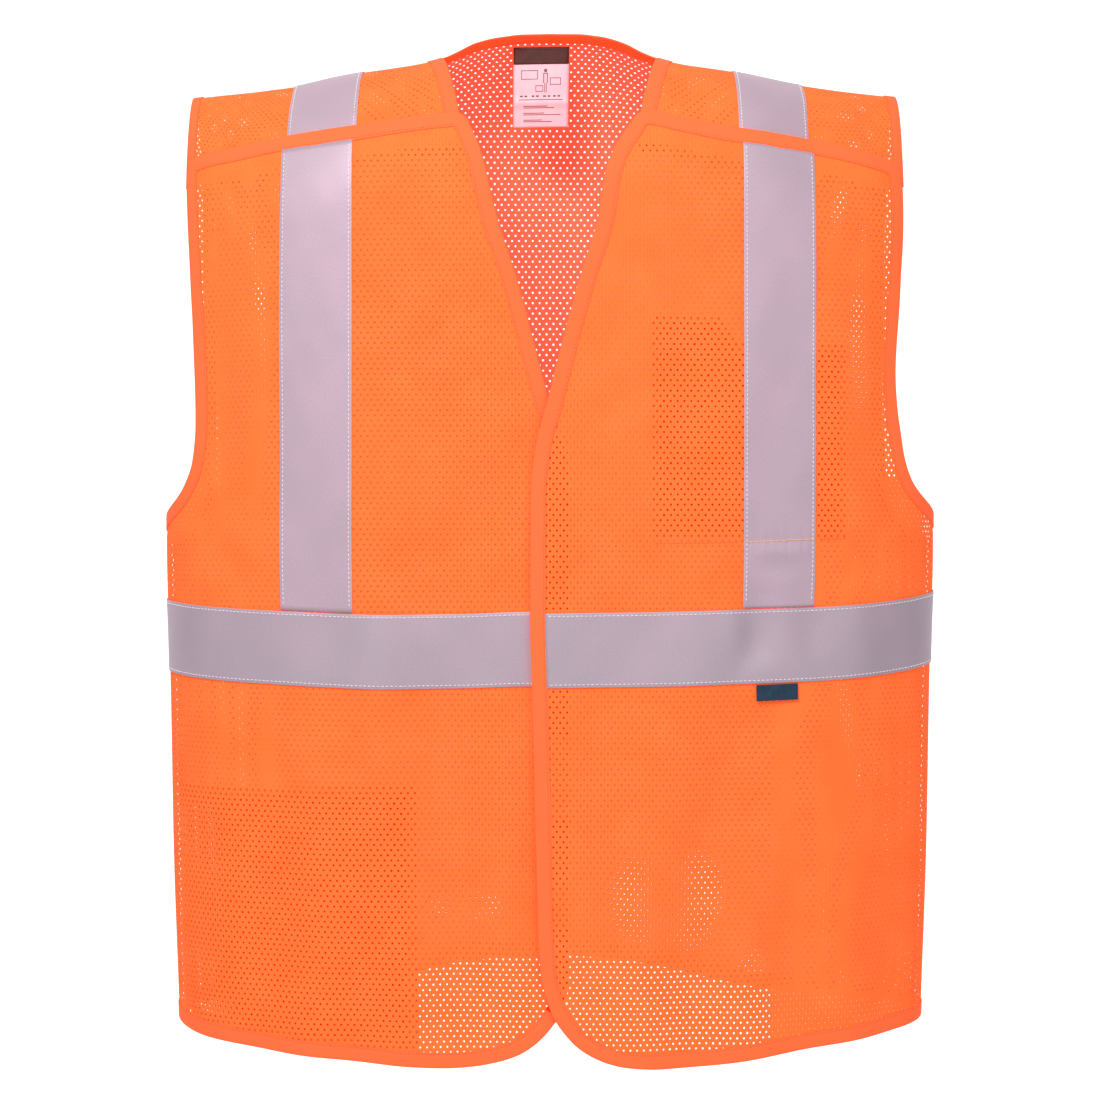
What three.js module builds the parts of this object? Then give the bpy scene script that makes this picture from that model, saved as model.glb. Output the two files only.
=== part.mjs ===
// High visibility mesh vest with a five-point breakaway closure.
// Millimetres, +Z up, +X to the wearer's left, the wearer faces -Y.
// The origin is the point between the shoulders at the mean height of the shoulder ridge.
import * as THREE from 'three';

// ---------- driving dimensions (mm) ----------
const HALF_WIDTH = 270;        // half width of the body form at the chest
const HALF_DEPTH = 110;        // half depth of the body form
const SECTION_POWER = 2.4;     // roundness of the girth section (2 = ellipse)
const SHOULDER_DROP = 110;     // height over which the shoulder turns from flat to upright
const PANEL_T = 0.8;           // mesh fabric thickness
const FRONT_LIFT = 4.4;        // inner face of a front panel above the body form
const TUCK_LIFT = -1.2;        // inner face of the lower front panel where it tucks under the other
const BIND_W = 9.6;            // visible width of the edge binding
const BIND_T = 0.5;            // binding ply thickness
const BIND_GAP = [0.9, 1.0];   // clearance between a front panel and its outer and inner binding plies
const BACK_BIND_GAP = [0.9, 0.9]; // the same on the back panel
const TAPE_W = 50.6;           // reflective tape width
const TAPE_T = 0.5;            // reflective tape thickness
const SIDE_EDGE = 322.9;       // girth from centre front to a front panel's side edge
const BACK_EDGE = 288;         // girth from centre front to the back panel's side edge
const LOOP = [2.3, 2.7];       // loop tape, inner and outer height above the body form
const HOOK = [3.1, 3.6];       // hook tape
const LABEL = [41.6, 58];      // neck label width and length
const TAB = [29.5, 11];        // hem tab width and length

const ORANGE = 0xff7a36, BINDING = 0xff7445, SILVER = 0xcdb8c6, HOOKC = 0xf2682c, LOOPC = 0xf8743c;

// ---------- interpolation ----------
function pchip(tab) {
  const x = tab.map(t => t[0]), y = tab.map(t => t[1]), n = x.length;
  const h = [], d = [], m = new Array(n).fill(0);
  for (let i = 0; i < n - 1; i++) { h[i] = x[i + 1] - x[i]; d[i] = (y[i + 1] - y[i]) / h[i]; }
  m[0] = d[0]; m[n - 1] = d[n - 2];
  for (let i = 1; i < n - 1; i++) {
    if (d[i - 1] * d[i] <= 0) m[i] = 0;
    else { const a = 2 * h[i] + h[i - 1], b = h[i] + 2 * h[i - 1]; m[i] = (a + b) / (a / d[i - 1] + b / d[i]); }
  }
  return v => {
    if (v <= x[0]) return y[0];
    if (v >= x[n - 1]) return y[n - 1];
    let i = 0; while (v > x[i + 1]) i++;
    const t = (v - x[i]) / h[i], t2 = t * t, t3 = t2 * t;
    return (2 * t3 - 3 * t2 + 1) * y[i] + (t3 - 2 * t2 + t) * h[i] * m[i] + (-2 * t3 + 3 * t2) * y[i + 1] + (t3 - t2) * h[i] * m[i + 1];
  };
}
const smooth = (e0, e1, x) => { const t = Math.min(1, Math.max(0, (x - e0) / (e1 - e0))); return t * t * (3 - 2 * t); };

// ---------- the body form: girth section ----------
const SEC = [];
{
  let s = 0, px = 0, py = HALF_DEPTH;
  for (let i = 0; i <= 3000; i++) {
    const th = (Math.PI / 2) * i / 3000;
    const x = HALF_WIDTH * Math.pow(Math.sin(th), 2 / SECTION_POWER);
    const y = HALF_DEPTH * Math.pow(Math.max(0, Math.cos(th)), 2 / SECTION_POWER);
    s += Math.hypot(x - px, y - py); px = x; py = y;
    SEC.push([s, x, y]);
  }
}
const QUARTER = SEC[SEC.length - 1][0];
// girth a is measured from centre front, positive to the wearer's left; y is negative in front
function section(a) {
  const sg = a < 0 ? -1 : 1; let g = Math.abs(a), back = -1;
  if (g > QUARTER) { g = 2 * QUARTER - g; back = 1; }
  let lo = 0, hi = SEC.length - 1;
  while (hi - lo > 1) { const m = (lo + hi) >> 1; if (SEC[m][0] <= g) lo = m; else hi = m; }
  const t = Math.min(1, Math.max(0, (g - SEC[lo][0]) / (SEC[hi][0] - SEC[lo][0] || 1)));
  return [sg * (SEC[lo][1] + t * (SEC[hi][1] - SEC[lo][1])), back * (SEC[lo][2] + t * (SEC[hi][2] - SEC[lo][2]))];
}
const halfWidth = pchip([[-800, 257], [-666, 261], [-553, 265], [-428, 267.3], [-330, 270], [-290, 270], [100, 270]]);
const ridgeFront = pchip([[0, 13], [60, 13], [79, 12.6], [100, 10.3], [137, 5.2], [187, -4.6], [257, -12], [300, -16]]);
const ridgeBack = pchip([[0, 55], [18, 53.4], [36, 48], [54, 38], [67, 27.5], [79, 18.5], [92, 13], [110, 9.2], [137, 5.2], [187, -4.6], [257, -12], [300, -16]]);

// a point of the front half at girth a and height z
function front(a, z) {
  const [x0, y0] = section(a);
  const drop = Math.max(0, ridgeFront(Math.abs(x0)) - z);
  const s = drop >= SHOULDER_DROP ? 1 : Math.sqrt(Math.max(0, 1 - (1 - drop / SHOULDER_DROP) ** 2));
  return new THREE.Vector3(x0 * halfWidth(z) / HALF_WIDTH, y0 * s, z);
}
// a point of the back half at girth b from centre back and path length v down from the shoulder ridge;
// v < 0 runs over the ridge and down the front
const TURN = SHOULDER_DROP * Math.PI / 2;
const dropOf = v => (v < TURN ? SHOULDER_DROP * (1 - Math.cos(v / SHOULDER_DROP)) : SHOULDER_DROP + v - TURN);
const vOf = drop => (drop >= SHOULDER_DROP ? TURN + drop - SHOULDER_DROP : SHOULDER_DROP * Math.acos(1 - Math.max(0, drop) / SHOULDER_DROP));
function ridge(x, v) {
  const w = smooth(-55, 35, v), ax = Math.abs(x);
  return ridgeFront(ax) * (1 - w) + ridgeBack(ax) * w;
}
function back(b, v) {
  const sg = b < 0 ? -1 : 1;
  const [x0, y0] = section(sg * (2 * QUARTER - Math.abs(b)));
  const av = Math.abs(v), z = ridge(x0, v) - dropOf(av);
  const s = (av >= TURN ? 1 : Math.sin(av / SHOULDER_DROP)) * (v < 0 ? -1 : 1);
  return new THREE.Vector3(x0 * halfWidth(z) / HALF_WIDTH, y0 * s, z);
}
const backV = (b, z) => { const [x0] = section(2 * QUARTER - Math.abs(b)); return vOf(ridgeBack(Math.abs(x0)) - z); };
const flapV = (b, z) => { const [x0] = section(2 * QUARTER - Math.abs(b)); return -vOf(ridgeFront(Math.abs(x0)) - z); };
// outward normals; dir is +1 for the front map and -1 for the back map
function frame(map, dir, p, q, e = 0.8) {
  const du = map(p + e, q).sub(map(p - e, q)), dv = map(p, q + e).sub(map(p, q - e));
  const n = du.cross(dv).multiplyScalar(dir).normalize();
  return { p: map(p, q), n };
}
const onFront = (a, z) => frame(front, 1, a, z);
const onBack = (b, v) => frame(back, 1, b, v);

// ---------- solids ----------
function meshOf(name, positions, index, colour, rough = 0.85, metal = 0) {
  const g = new THREE.BufferGeometry();
  g.setAttribute('position', new THREE.Float32BufferAttribute(positions, 3));
  g.setIndex(index);
  // turn the surface outward
  let vol = 0;
  const P = i => new THREE.Vector3(positions[3 * i], positions[3 * i + 1], positions[3 * i + 2]);
  for (let k = 0; k < index.length; k += 3) vol += P(index[k]).dot(P(index[k + 1]).cross(P(index[k + 2])));
  if (vol < 0) for (let k = 0; k < index.length; k += 3) { const t = index[k]; index[k] = index[k + 1]; index[k + 1] = t; }
  g.setIndex(index);
  g.computeVertexNormals();
  const m = new THREE.Mesh(g, new THREE.MeshStandardMaterial({ color: colour, roughness: rough, metalness: metal }));
  m.name = name;
  return m;
}
// a sheet of fabric: nodes {p, n, h0, h1} joined by triangles, given a thickness from h0 to h1
function sheet(name, nodes, tris, colour, rough, metal) {
  const pos = [], idx = [], N = nodes.length;
  for (const k of [1, 0]) for (const nd of nodes) {
    const h = k ? nd.h1 : nd.h0;
    pos.push(nd.p.x + nd.n.x * h, nd.p.y + nd.n.y * h, nd.p.z + nd.n.z * h);
  }
  const edges = new Map();
  for (const [a, b, c] of tris) {
    idx.push(a, b, c, N + a, N + c, N + b);
    for (const [s, t] of [[a, b], [b, c], [c, a]]) {
      const key = s < t ? s * 100000 + t : t * 100000 + s;
      if (edges.has(key)) edges.set(key, null); else edges.set(key, [s, t]);
    }
  }
  for (const e of edges.values()) if (e) { const [s, t] = e; idx.push(s, N + s, N + t, s, N + t, t); }
  return meshOf(name, pos, idx, colour, rough, metal);
}
// cells split on the diagonal that lies further out, nearer the curved surface
function gridTris(nu, nv, id, nodes) {
  const t = [];
  for (let j = 0; j < nv; j++) for (let i = 0; i < nu; i++) {
    const a = id(i, j), b = id(i + 1, j), c = id(i + 1, j + 1), d = id(i, j + 1);
    splitCell(t, a, b, c, d, nodes);
  }
  return t;
}
function splitCell(t, a, b, c, d, nodes) {
  const m = nodes ? nodes[a].p.clone().add(nodes[c].p).sub(nodes[b].p).sub(nodes[d].p).dot(nodes[a].n.clone().add(nodes[c].n)) : 0;
  if (m >= 0) t.push([a, b, c], [a, c, d]); else t.push([a, b, d], [b, c, d]);
}
// a rectangular strip of tape: param(u, v) gives surface coordinates for u, v in 0..1
function strip(name, on, param, nu, nv, h0, h1, colour, rough, metal, lift = () => 0) {
  const nodes = [];
  for (let j = 0; j <= nv; j++) for (let i = 0; i <= nu; i++) {
    const [a, q] = param(i / nu, j / nv), f = on(a, q), l = lift(a, q);
    nodes.push({ ...f, h0: h0 + l, h1: h1 + l });
  }
  return sheet(name, nodes, gridTris(nu, nv, (i, j) => j * (nu + 1) + i, nodes), colour, rough, metal);
}
// a binding folded round an edge: stations {a, q, ia, iq} where (ia, iq) points into the fabric
function binding(name, on, st, hp, hm, gap, lift = () => 0, w = BIND_W) {
  const pos = [], idx = [];
  const hp1 = hp + gap[0], hp2 = hp1 + BIND_T, hm1 = hm - gap[1], hm2 = hm1 - BIND_T;
  const secn = [[w, hp2], [-1.0, hp2], [-1.0, hm2], [w, hm2], [w, hm1], [-0.4, hm1], [-0.4, hp1], [w, hp1]];
  for (const s of st) {
    const cache = {};
    for (const [e, h] of secn) {
      const k = String(e);
      if (!cache[k]) { const a = s.a + s.ia * e, q = s.q + s.iq * e; cache[k] = { ...on(a, q), l: lift(a, q) }; }
      const f = cache[k], hh = h + f.l;
      pos.push(f.p.x + f.n.x * hh, f.p.y + f.n.y * hh, f.p.z + f.n.z * hh);
    }
  }
  const n = st.length;
  for (let k = 0; k < n - 1; k++) for (let i = 0; i < 8; i++) {
    const a = 8 * k + i, b = 8 * k + (i + 1) % 8, c = b + 8, d = a + 8;
    // both faces of a ply are split on the same diagonal, so that they stay parallel
    if (i === 2 || i === 6) idx.push(a, b, d, b, c, d); else idx.push(a, b, c, a, c, d);
  }
  const cap = (o, flip) => {
    for (const q of [[0, 1, 6, 7], [1, 2, 5, 6], [2, 3, 4, 5]]) {
      const [a, b, c, d] = q.map(i => o + i);
      if (flip) idx.push(a, c, b, a, d, c); else idx.push(a, b, c, a, c, d);
    }
  };
  cap(0, true); cap(8 * (n - 1), false);
  return meshOf(name, pos, idx, BINDING, 0.8);
}
// ---------- outlines ----------
function polyline(pts) {
  const c = [0];
  for (let i = 1; i < pts.length; i++) c.push(c[i - 1] + Math.hypot(pts[i][0] - pts[i - 1][0], pts[i][1] - pts[i - 1][1]));
  const L = c[c.length - 1];
  const fx = pchip(pts.map((p, i) => [c[i], p[0]])), fy = pchip(pts.map((p, i) => [c[i], p[1]]));
  return { L, at: t => [fx(t * L), fy(t * L)], knot: i => c[i] / L };
}
// blend four chains of edge points into a grid of surface coordinates
function coons(T, B, L, R) {
  const frac = c => { const t = [0]; for (let i = 1; i < c.length; i++) t.push(t[i - 1] + Math.hypot(c[i][0] - c[i - 1][0], c[i][1] - c[i - 1][1])); return t.map(x => x / t[t.length - 1]); };
  const fT = frac(T), fB = frac(B), fL = frac(L), fR = frac(R), nu = T.length - 1, nv = L.length - 1, g = [];
  for (let j = 0; j <= nv; j++) for (let i = 0; i <= nu; i++) {
    const v = (fL[j] + fR[j]) / 2, u = fT[i] * (1 - v) + fB[i] * v;
    g.push([0, 1].map(k => (1 - v) * T[i][k] + v * B[i][k] + (1 - u) * L[j][k] + u * R[j][k]
      - ((1 - u) * (1 - v) * T[0][k] + u * (1 - v) * T[nu][k] + (1 - u) * v * B[0][k] + u * v * B[nu][k])));
  }
  return { g, nu, nv };
}
// join several grids of surface coordinates into one fabric piece
function fabricOf(on, grids, h0, h1, lift = () => 0) {
  const key = new Map(), nodes = [], tris = [];
  for (const { g, nu, nv } of grids) {
    const id = g.map(([a, q]) => {
      const k = `${Math.round(a * 200)}_${Math.round(q * 200)}`;
      if (!key.has(k)) { key.set(k, nodes.length); const l = lift(a, q); nodes.push({ ...on(a, q), h0: h0 + l, h1: h1 + l }); }
      return key.get(k);
    });
    for (let j = 0; j < nv; j++) for (let i = 0; i < nu; i++)
      splitCell(tris, id[j * (nu + 1) + i], id[j * (nu + 1) + i + 1], id[(j + 1) * (nu + 1) + i + 1], id[(j + 1) * (nu + 1) + i], nodes);
  }
  return { nodes, tris };
}
// stations along a chain of surface points with the inward direction to the left or right of travel
function stations(pts, side) {
  const st = [];
  for (let i = 0; i < pts.length; i++) {
    const p = pts[i], a = pts[Math.max(0, i - 1)], b = pts[Math.min(pts.length - 1, i + 1)];
    const nrm = (s, t) => { const d = [t[0] - s[0], t[1] - s[1]], l = Math.hypot(...d) || 1; return [-side * d[1] / l, side * d[0] / l]; };
    let n;
    if (i === 0) n = nrm(p, b); else if (i === pts.length - 1) n = nrm(a, p);
    else {
      const n1 = nrm(a, p), n2 = nrm(p, b), m = [n1[0] + n2[0], n1[1] + n2[1]], l = Math.hypot(...m) || 1;
      const c = Math.max(0.6, (m[0] * n1[0] + m[1] * n1[1]) / l);
      n = [m[0] / l / c, m[1] / l / c];
    }
    st.push({ a: p[0], q: p[1], ia: n[0], iq: n[1] });
  }
  return st;
}

const parts = [];
const add = m => { parts.push(m); return m; };

// ---------- front panels: outlines as [girth, height] ----------
const FRONT = {
  left: {
    sg: 1,
    top: [[56.5, -47], [60, -42], [66, -39.8], [95.6, -45.2], [133.5, -51.2], [187.2, -57.3], [217.7, -62.5], [240, -66.5], [247.5, -70.5], [251, -77]],
    outer: [[251, -77], [252.2, -90.5], [250.3, -159.4], [247, -214.6], [248.6, -240], [250.8, -254], [254, -272.2], [261.3, -288.7], [272.2, -298.5], [290, -306.5], [307, -311], [SIDE_EDGE, -313], [SIDE_EDGE, -430], [SIDE_EDGE, -560], [SIDE_EDGE, -667]],
    bottom: [[10.6, -664], [17.8, -671.8], [28.3, -679], [40.2, -684], [50.7, -686.4], [63.3, -687.7], [77.3, -688.4], [97, -687.8], [157.7, -681], [222, -674], [257.9, -670.2], [290, -668], [SIDE_EDGE, -667]],
    inner: [[56.5, -47], [45, -64], [38.2, -82.2], [33.4, -111.5], [21.3, -152.2], [7.1, -203.6], [-1, -236.8], [-8.6, -265.9], [-12, -296.4], [-12.6, -379.7], [-11.3, -431.8], [-9.2, -519.8], [-8.2, -560.4], [-7.2, -595], [-6.4, -611.9], [-5, -627.8], [-2.4, -638.3], [0.8, -647.8], [4.3, -655.2], [10.6, -664]],
    tape: [131.6, 183.2], waist: [[-20, -380.2], [66, -379.2], [139.5, -377.4], [187.4, -376.0], [229, -373.3], [258, -370.6], [284, -367.5], [325, -364.5]],
    lift: () => 0,
  },
  right: {
    sg: -1,
    top: [[54.5, -51], [57.5, -44.5], [64, -40.8], [94.3, -43.2], [130.9, -48.5], [183, -54], [225.1, -59.8], [252, -62.8], [260.5, -66], [263.8, -74]],
    outer: [[263.8, -74], [262, -96.6], [258.8, -140.7], [256.2, -196], [254.2, -250.5], [257, -275], [265.9, -292.2], [276.5, -301.5], [292, -308.5], [308, -313], [SIDE_EDGE, -315], [SIDE_EDGE, -430], [SIDE_EDGE, -560], [SIDE_EDGE, -667]],
    bottom: [[-4.3, -655.9], [4.6, -666.5], [13.7, -674.2], [24, -680], [41.8, -685.4], [55, -687.6], [69.3, -688.5], [97, -687.4], [152.6, -683.4], [211.5, -678.6], [259.1, -674.6], [290, -670.6], [SIDE_EDGE, -667]],
    inner: [[54.5, -51], [48, -66], [41, -93.4], [36.3, -112.4], [22.7, -155.1], [8.5, -208.8], [1.4, -235.2], [-7.1, -262.4], [-11.6, -289.5], [-12.6, -343.8], [-12.8, -540], [-12.6, -600], [-12.2, -620], [-11.2, -635.6], [-8.7, -647.8], [-4.3, -655.9]],
    tape: [134.6, 187], waist: [[-20, -379.2], [12.9, -379.0], [58, -380.4], [111.9, -381.1], [138.9, -380.6], [185.2, -378.8], [225.9, -377], [262, -374.6], [286.3, -372.8], [325, -370.5]],
    // this panel tucks under the other one at the centre and lies on top at the shoulder and side
    lift: (a, z) => (TUCK_LIFT - FRONT_LIFT) * (1 - smooth(58, 140, Math.abs(a) * (a < 0 ? 1 : 0))) * smooth(-110, -225, z),
  },
};
// columns from the centre edge to the armhole, rows above and below the underarm
const FU = [0, 0.06, 0.14, 0.23, 0.33, 0.43, 0.53, 0.62, 0.7, 0.77, 0.83, 0.89, 0.95, 1];
const ROWS_UP = [0, 0.05, 0.11, 0.18, 0.26, 0.34, 0.43, 0.53, 0.66, 0.78, 0.86, 0.92, 0.965, 1];
const ROWS_LOW = [0, 0.05, 0.17, 0.32, 0.48, 0.64, 0.78, 0.86, 0.905, 0.94, 0.97, 1];
const HEM_FRAC = [0, 0.03, 0.07, 0.12, 0.19, 0.27, 0.35, 0.43, 0.51, 0.585, 0.65, 0.705, 0.755, 0.795, 0.83, 0.858, 0.884, 0.908, 0.932, 0.955, 0.978, 1];
const HP = FRONT_LIFT + PANEL_T, HM = FRONT_LIFT;
// girth of each front panel's inner edge, and height of its hem
const innerEdge = {}, hemHeight = {};
for (const key of ['left', 'right']) {
  innerEdge[key] = pchip(FRONT[key].inner.map(([a, z]) => [z, a]).reverse());
  hemHeight[key] = pchip(FRONT[key].bottom);
}
const seq = (n, f) => Array.from({ length: n + 1 }, (_, i) => f(i / n));

for (const key of ['left', 'right']) {
  const F = FRONT[key], sg = F.sg, mir = pts => pts.map(([a, z]) => [sg * a, z]);
  const chain = (pts, f) => { const c = polyline(mir(pts)); return f.map(t => c.at(t)); };
  const kA = F.outer.findIndex(p => p[0] > 260 && p[1] < -280), kC = F.outer.findIndex(p => p[0] === SIDE_EDGE);
  const kI = F.inner.findIndex(p => p[1] < -285);
  const top = chain(F.top, FU), arm = chain(F.outer.slice(0, kA + 1), ROWS_UP), inUp = chain(F.inner.slice(0, kI + 1), ROWS_UP);
  const cross = FU.map(t => [0, 1].map(k => sg ** (1 - k) * (F.inner[kI][k] + t * (F.outer[kA][k] - F.inner[kI][k]))));
  const under = chain(F.outer.slice(kA, kC + 1), seq(8, t => t));
  const side0 = chain(F.outer.slice(kC), ROWS_LOW), inLow = chain(F.inner.slice(kI), ROWS_LOW), hem = chain(F.bottom, HEM_FRAC);
  const { nodes: fab, tris: cells } = fabricOf(onFront, [coons(top, cross, inUp, arm), coons([...cross, ...under.slice(1)], hem, inLow, side0)], HM, HP, F.lift);
  const lift = F.lift;
  add(sheet(`front_${key}_panel`, fab, cells, ORANGE, 0.85));

  // edge binding: armhole, shoulder, neck, centre front and hem in one run
  const corner = [sg * SIDE_EDGE, F.outer[kC][1]];
  const run = [...under.slice().reverse(), ...arm.slice(0, -1).reverse(), ...top.slice(0, -1).reverse(), ...inUp.slice(1), ...inLow.slice(1), ...hem.slice(1)];
  add(binding(`front_${key}_edge_binding`, onFront, stations(run, sg), HP, HM, BIND_GAP, lift));
  // side binding between the two ends of the edge binding
  const z0 = corner[1] - BIND_W - 1.6, z1 = -667 + BIND_W + 1.6;
  const side = seq(8, t => [sg * SIDE_EDGE, z0 + (z1 - z0) * t]);
  add(binding(`front_${key}_side_binding`, onFront, stations(side, -sg), HP, HM, BIND_GAP));

  // reflective tapes
  const T0 = HP + 0.8, waist = pchip(F.waist), topZ = pchip(F.top.slice(2, 8));
  add(strip(`front_${key}_shoulder_tape`, onFront, (u, v) => {
    const a = F.tape[0] + u * TAPE_W, zt = topZ(a) - BIND_W - 2.2, zb = waist(a) + 0.8;
    return [sg * a, zt + (zb - zt) * (v < 0.5 ? v * 0.8 : 0.4 + (v - 0.5) * 1.2)];
  }, 3, 16, T0, T0 + TAPE_T, SILVER, 0.4, 0.2));
  const aOut = SIDE_EDGE - BIND_W - 0.8, ua = pchip([[0, 0], [0.25, 0.35], [0.5, 0.62], [0.75, 0.83], [1, 1]]);
  add(strip(`front_${key}_waist_tape`, onFront, (u, v) => {
    const aIn = innerEdge[key](waist(0) - v * TAPE_W) + BIND_W + 0.9, a = aIn + ua(u) * (aOut - aIn);
    return [sg * a, waist(a) - v * TAPE_W];
  }, 20, 2, T0, T0 + TAPE_T, SILVER, 0.4, 0.2, lift));

  // hook tape under the shoulder edge and along the side, loop tape on the back panel under them
  const hz = a => topZ(a) - BIND_W - 2.6;
  const shoulderStrip = (u, v) => { const a = 74 + u * 160; return [sg * a, hz(a) - v * 14]; };
  add(strip(`shoulder_hook_${key}`, onFront, shoulderStrip, 10, 1, HOOK[0], HOOK[1], HOOKC, 0.95));
  add(strip(`shoulder_loop_${key}`, onFront, shoulderStrip, 10, 1, LOOP[0], LOOP[1], LOOPC, 0.98));
  const sideStrip = (u, v) => [sg * (299.2 + u * 12.6), -332 - v * 318];
  add(strip(`side_hook_${key}`, onFront, sideStrip, 2, 7, HOOK[0], HOOK[1], HOOKC, 0.95));
  add(strip(`side_loop_${key}`, onFront, sideStrip, 2, 7, LOOP[0], LOOP[1], LOOPC, 0.98));
}

// ---------- centre closure patches ----------
[[-384, -426], [-462, -520], [-564, -592]].forEach(([z0, z1], k) => {
  const at = (u, v, s) => { const z = z0 + (z1 - z0) * v, e = innerEdge.left(z) + BIND_W + 1.2 - s; return [e + u * Math.min(12, 12.2 - e), z]; };
  add(strip(`centre_hook_${k + 1}`, onFront, (u, v) => at(u, v, 0), 1, 3, HOOK[0], HOOK[1], HOOKC, 0.95));
  add(strip(`centre_loop_${k + 1}`, onFront, (u, v) => at(u, v, 1), 1, 3, 1.5, 2.1, LOOPC, 0.98));
});

// ---------- inside pockets ----------
add(strip('chest_pocket', onFront, (u, v) => {
  const a = 68 + 137.4 * u, zt = u < 0.34 ? -175.5 : u > 0.45 ? -195.8 : -175.5 - 20.3 * (u - 0.34) / 0.11;
  return [a, zt + (-331 - zt) * v];
}, 11, 4, 2.7, 3.3, ORANGE, 0.85));
add(strip('lower_pocket', onFront, (u, v) => {
  const a = 92 + 186 * u, zt = -496.8 - 4.8 * u, zb = hemHeight.right(a) + BIND_W + 1.6;
  return [-a, zt + (zb - zt) * v];
}, 14, 4, 2.7, 3.3, ORANGE, 0.85, 0, (a, z) => FRONT.right.lift(a, z)));

// ---------- back panel: body and two shoulder flaps ----------
const NECK = [[79, 0], [74, 9], [67, 19], [57, 29], [44, 38], [30, 44.5], [15, 48.3], [0, 49.6]]; // [girth, path below the ridge]
const ARM = { 1: [258.5, 259, 258.4, 257.5, 257, 259], '-1': [271, 270.5, 270, 269.5, 269, 270] };
const WRAP = 2 * QUARTER - BACK_EDGE; // girth of the side edge from centre back
const UNDER = { 1: [[263, -296], [268, -306], [277, -315.5], [288, -321.5], [300, -325], [313, -327], [326, -328.2], [339, -329], [WRAP, -329.5]],
  '-1': [[272.5, -296], [276, -306], [282, -314.5], [291, -320.8], [302, -324.6], [314, -326.8], [327, -328.2], [339, -329], [WRAP, -329.5]] };
const bz = (b, z) => [b, backV(Math.min(Math.abs(b), 319), z)];
const RIDGE = [0, 0.055, 0.12, 0.2, 0.3, 0.42, 0.56, 0.7, 0.83, 0.925, 1]; // shoulder columns from the armhole to the neck
const bodyTop = [], NR = RIDGE.length - 1;
{
  const nk = polyline(NECK), NECK_T = [0, 0.11, 0.23, 0.38, 0.56, 0.77, 1];
  for (const t of RIDGE) bodyTop.push([-(ARM['-1'][0] + (79 - ARM['-1'][0]) * t), 0]);
  for (let i = 1; i <= 6; i++) { const p = nk.at(NECK_T[i]); bodyTop.push([-p[0], p[1]]); }
  for (let i = 5; i >= 0; i--) { const p = nk.at(NECK_T[i]); bodyTop.push([p[0], p[1]]); }
  for (const t of RIDGE.slice(0, -1).reverse()) bodyTop.push([ARM['1'][0] + (79 - ARM['1'][0]) * t, 0]);
}
const nTop = bodyTop.length - 1;
const hemZ = pchip([[0, -645], [60, -648.5], [120, -660], [170, -668], [230, -670], [300, -667], [352, -664]]);
const armChain = s => {
  const c = polyline([[s * ARM[s][0], 0], ...[-60, -120, -180, -225, -270].map((z, i) => bz(s * ARM[s][i + 1], z)), bz(s * UNDER[s][0][0], UNDER[s][0][1])]);
  return ARM_ROWS.map(t => c.at(t));
};
const ARM_ROWS = [0, 0.052, 0.105, 0.16, 0.215, 0.27, 0.33, 0.39, 0.45, 0.52, 0.62, 0.74, 0.86, 0.93, 0.97, 1];
const armL = armChain(-1), armR = armChain(1);
const underChain = s => { const c = polyline(UNDER[s].map(([b, z]) => bz(s * b, z))); return seq(10, t => c.at(t)); };
const underL = underChain(-1).reverse(), underR = underChain(1);
const aL = armL[armL.length - 1], aR = armR[armR.length - 1];
const crossBack = bodyTop.map(([b], i) => {
  const f = (b - bodyTop[0][0]) / (bodyTop[nTop][0] - bodyTop[0][0]);
  return [aL[0] + f * (aR[0] - aL[0]), aL[1] + f * (aR[1] - aL[1])];
});
const upperGrid = coons(bodyTop, crossBack, armL, armR);
const lowTop = [...underL.slice(0, -1), ...crossBack, ...underR.slice(1)];
const LOW_ROWS = [0, 0.045, 0.14, 0.3, 0.46, 0.62, 0.78, 0.9, 0.96, 1];
const HALF_COLS = [WRAP, 343.5, 335.5, 327.5, 319.5, 311.5, 303, 294, 284.5, 274, 262, 248, 232, 214];
const nLow = lowTop.length - 1, half = nLow / 2;
const rest = half - HALF_COLS.length + 1;
const cols = [...HALF_COLS, ...Array.from({ length: rest }, (_, i) => 214 * (1 - (i + 1) / rest))];
const bodyBottom = [...cols.map(b => -b), ...cols.slice(0, -1).reverse()].map(b => bz(b, hemZ(Math.abs(b))));
const sideChain = s => { const c = polyline([bz(s * WRAP, -329.5), bz(s * WRAP, -430), bz(s * WRAP, -550), bodyBottom[s < 0 ? 0 : nLow]]); return LOW_ROWS.map(t => c.at(t)); };
const lowerGrid = coons(lowTop, bodyBottom, sideChain(-1), sideChain(1));
// shoulder flaps run over the ridge and down the front to where the loop tape ends
const FLAP_END = {
  1: pchip([[55, -63], [130, -68.2], [188, -74.6], [230, -79], [262, -83]]),
  '-1': pchip([[55, -64.5], [61, -64.6], [133.6, -68], [173, -72], [240, -79], [275, -83]]),
};
const flapRows = 8, flap = {};
for (const s of [-1, 1]) {
  const g = [];
  for (let r = 0; r <= flapRows; r++) for (let c = 0; c <= NR; c++) {
    const b0 = bodyTop[s < 0 ? c : nTop - NR + c][0], inward = RIDGE[s < 0 ? c : NR - c], t = r / flapRows;  // inward is 1 at the neck edge
    const b = s * (Math.abs(b0) - 21 * Math.pow(t, 1.15) * inward);
    g.push([b, flapV(b, FLAP_END[s](Math.abs(b))) * t]);
  }
  flap[s] = { g, nu: NR, nv: flapRows };
}
const flipRows = ({ g, nu, nv }) => { const o = []; for (let j = nv; j >= 0; j--) o.push(...g.slice(j * (nu + 1), (j + 1) * (nu + 1))); return { g: o, nu, nv }; };
const { nodes, tris } = fabricOf(onBack, [upperGrid, lowerGrid, flipRows(flap[-1]), flipRows(flap[1])], -PANEL_T / 2, PANEL_T / 2);
add(sheet('back_panel', nodes, tris, ORANGE, 0.85));

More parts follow.
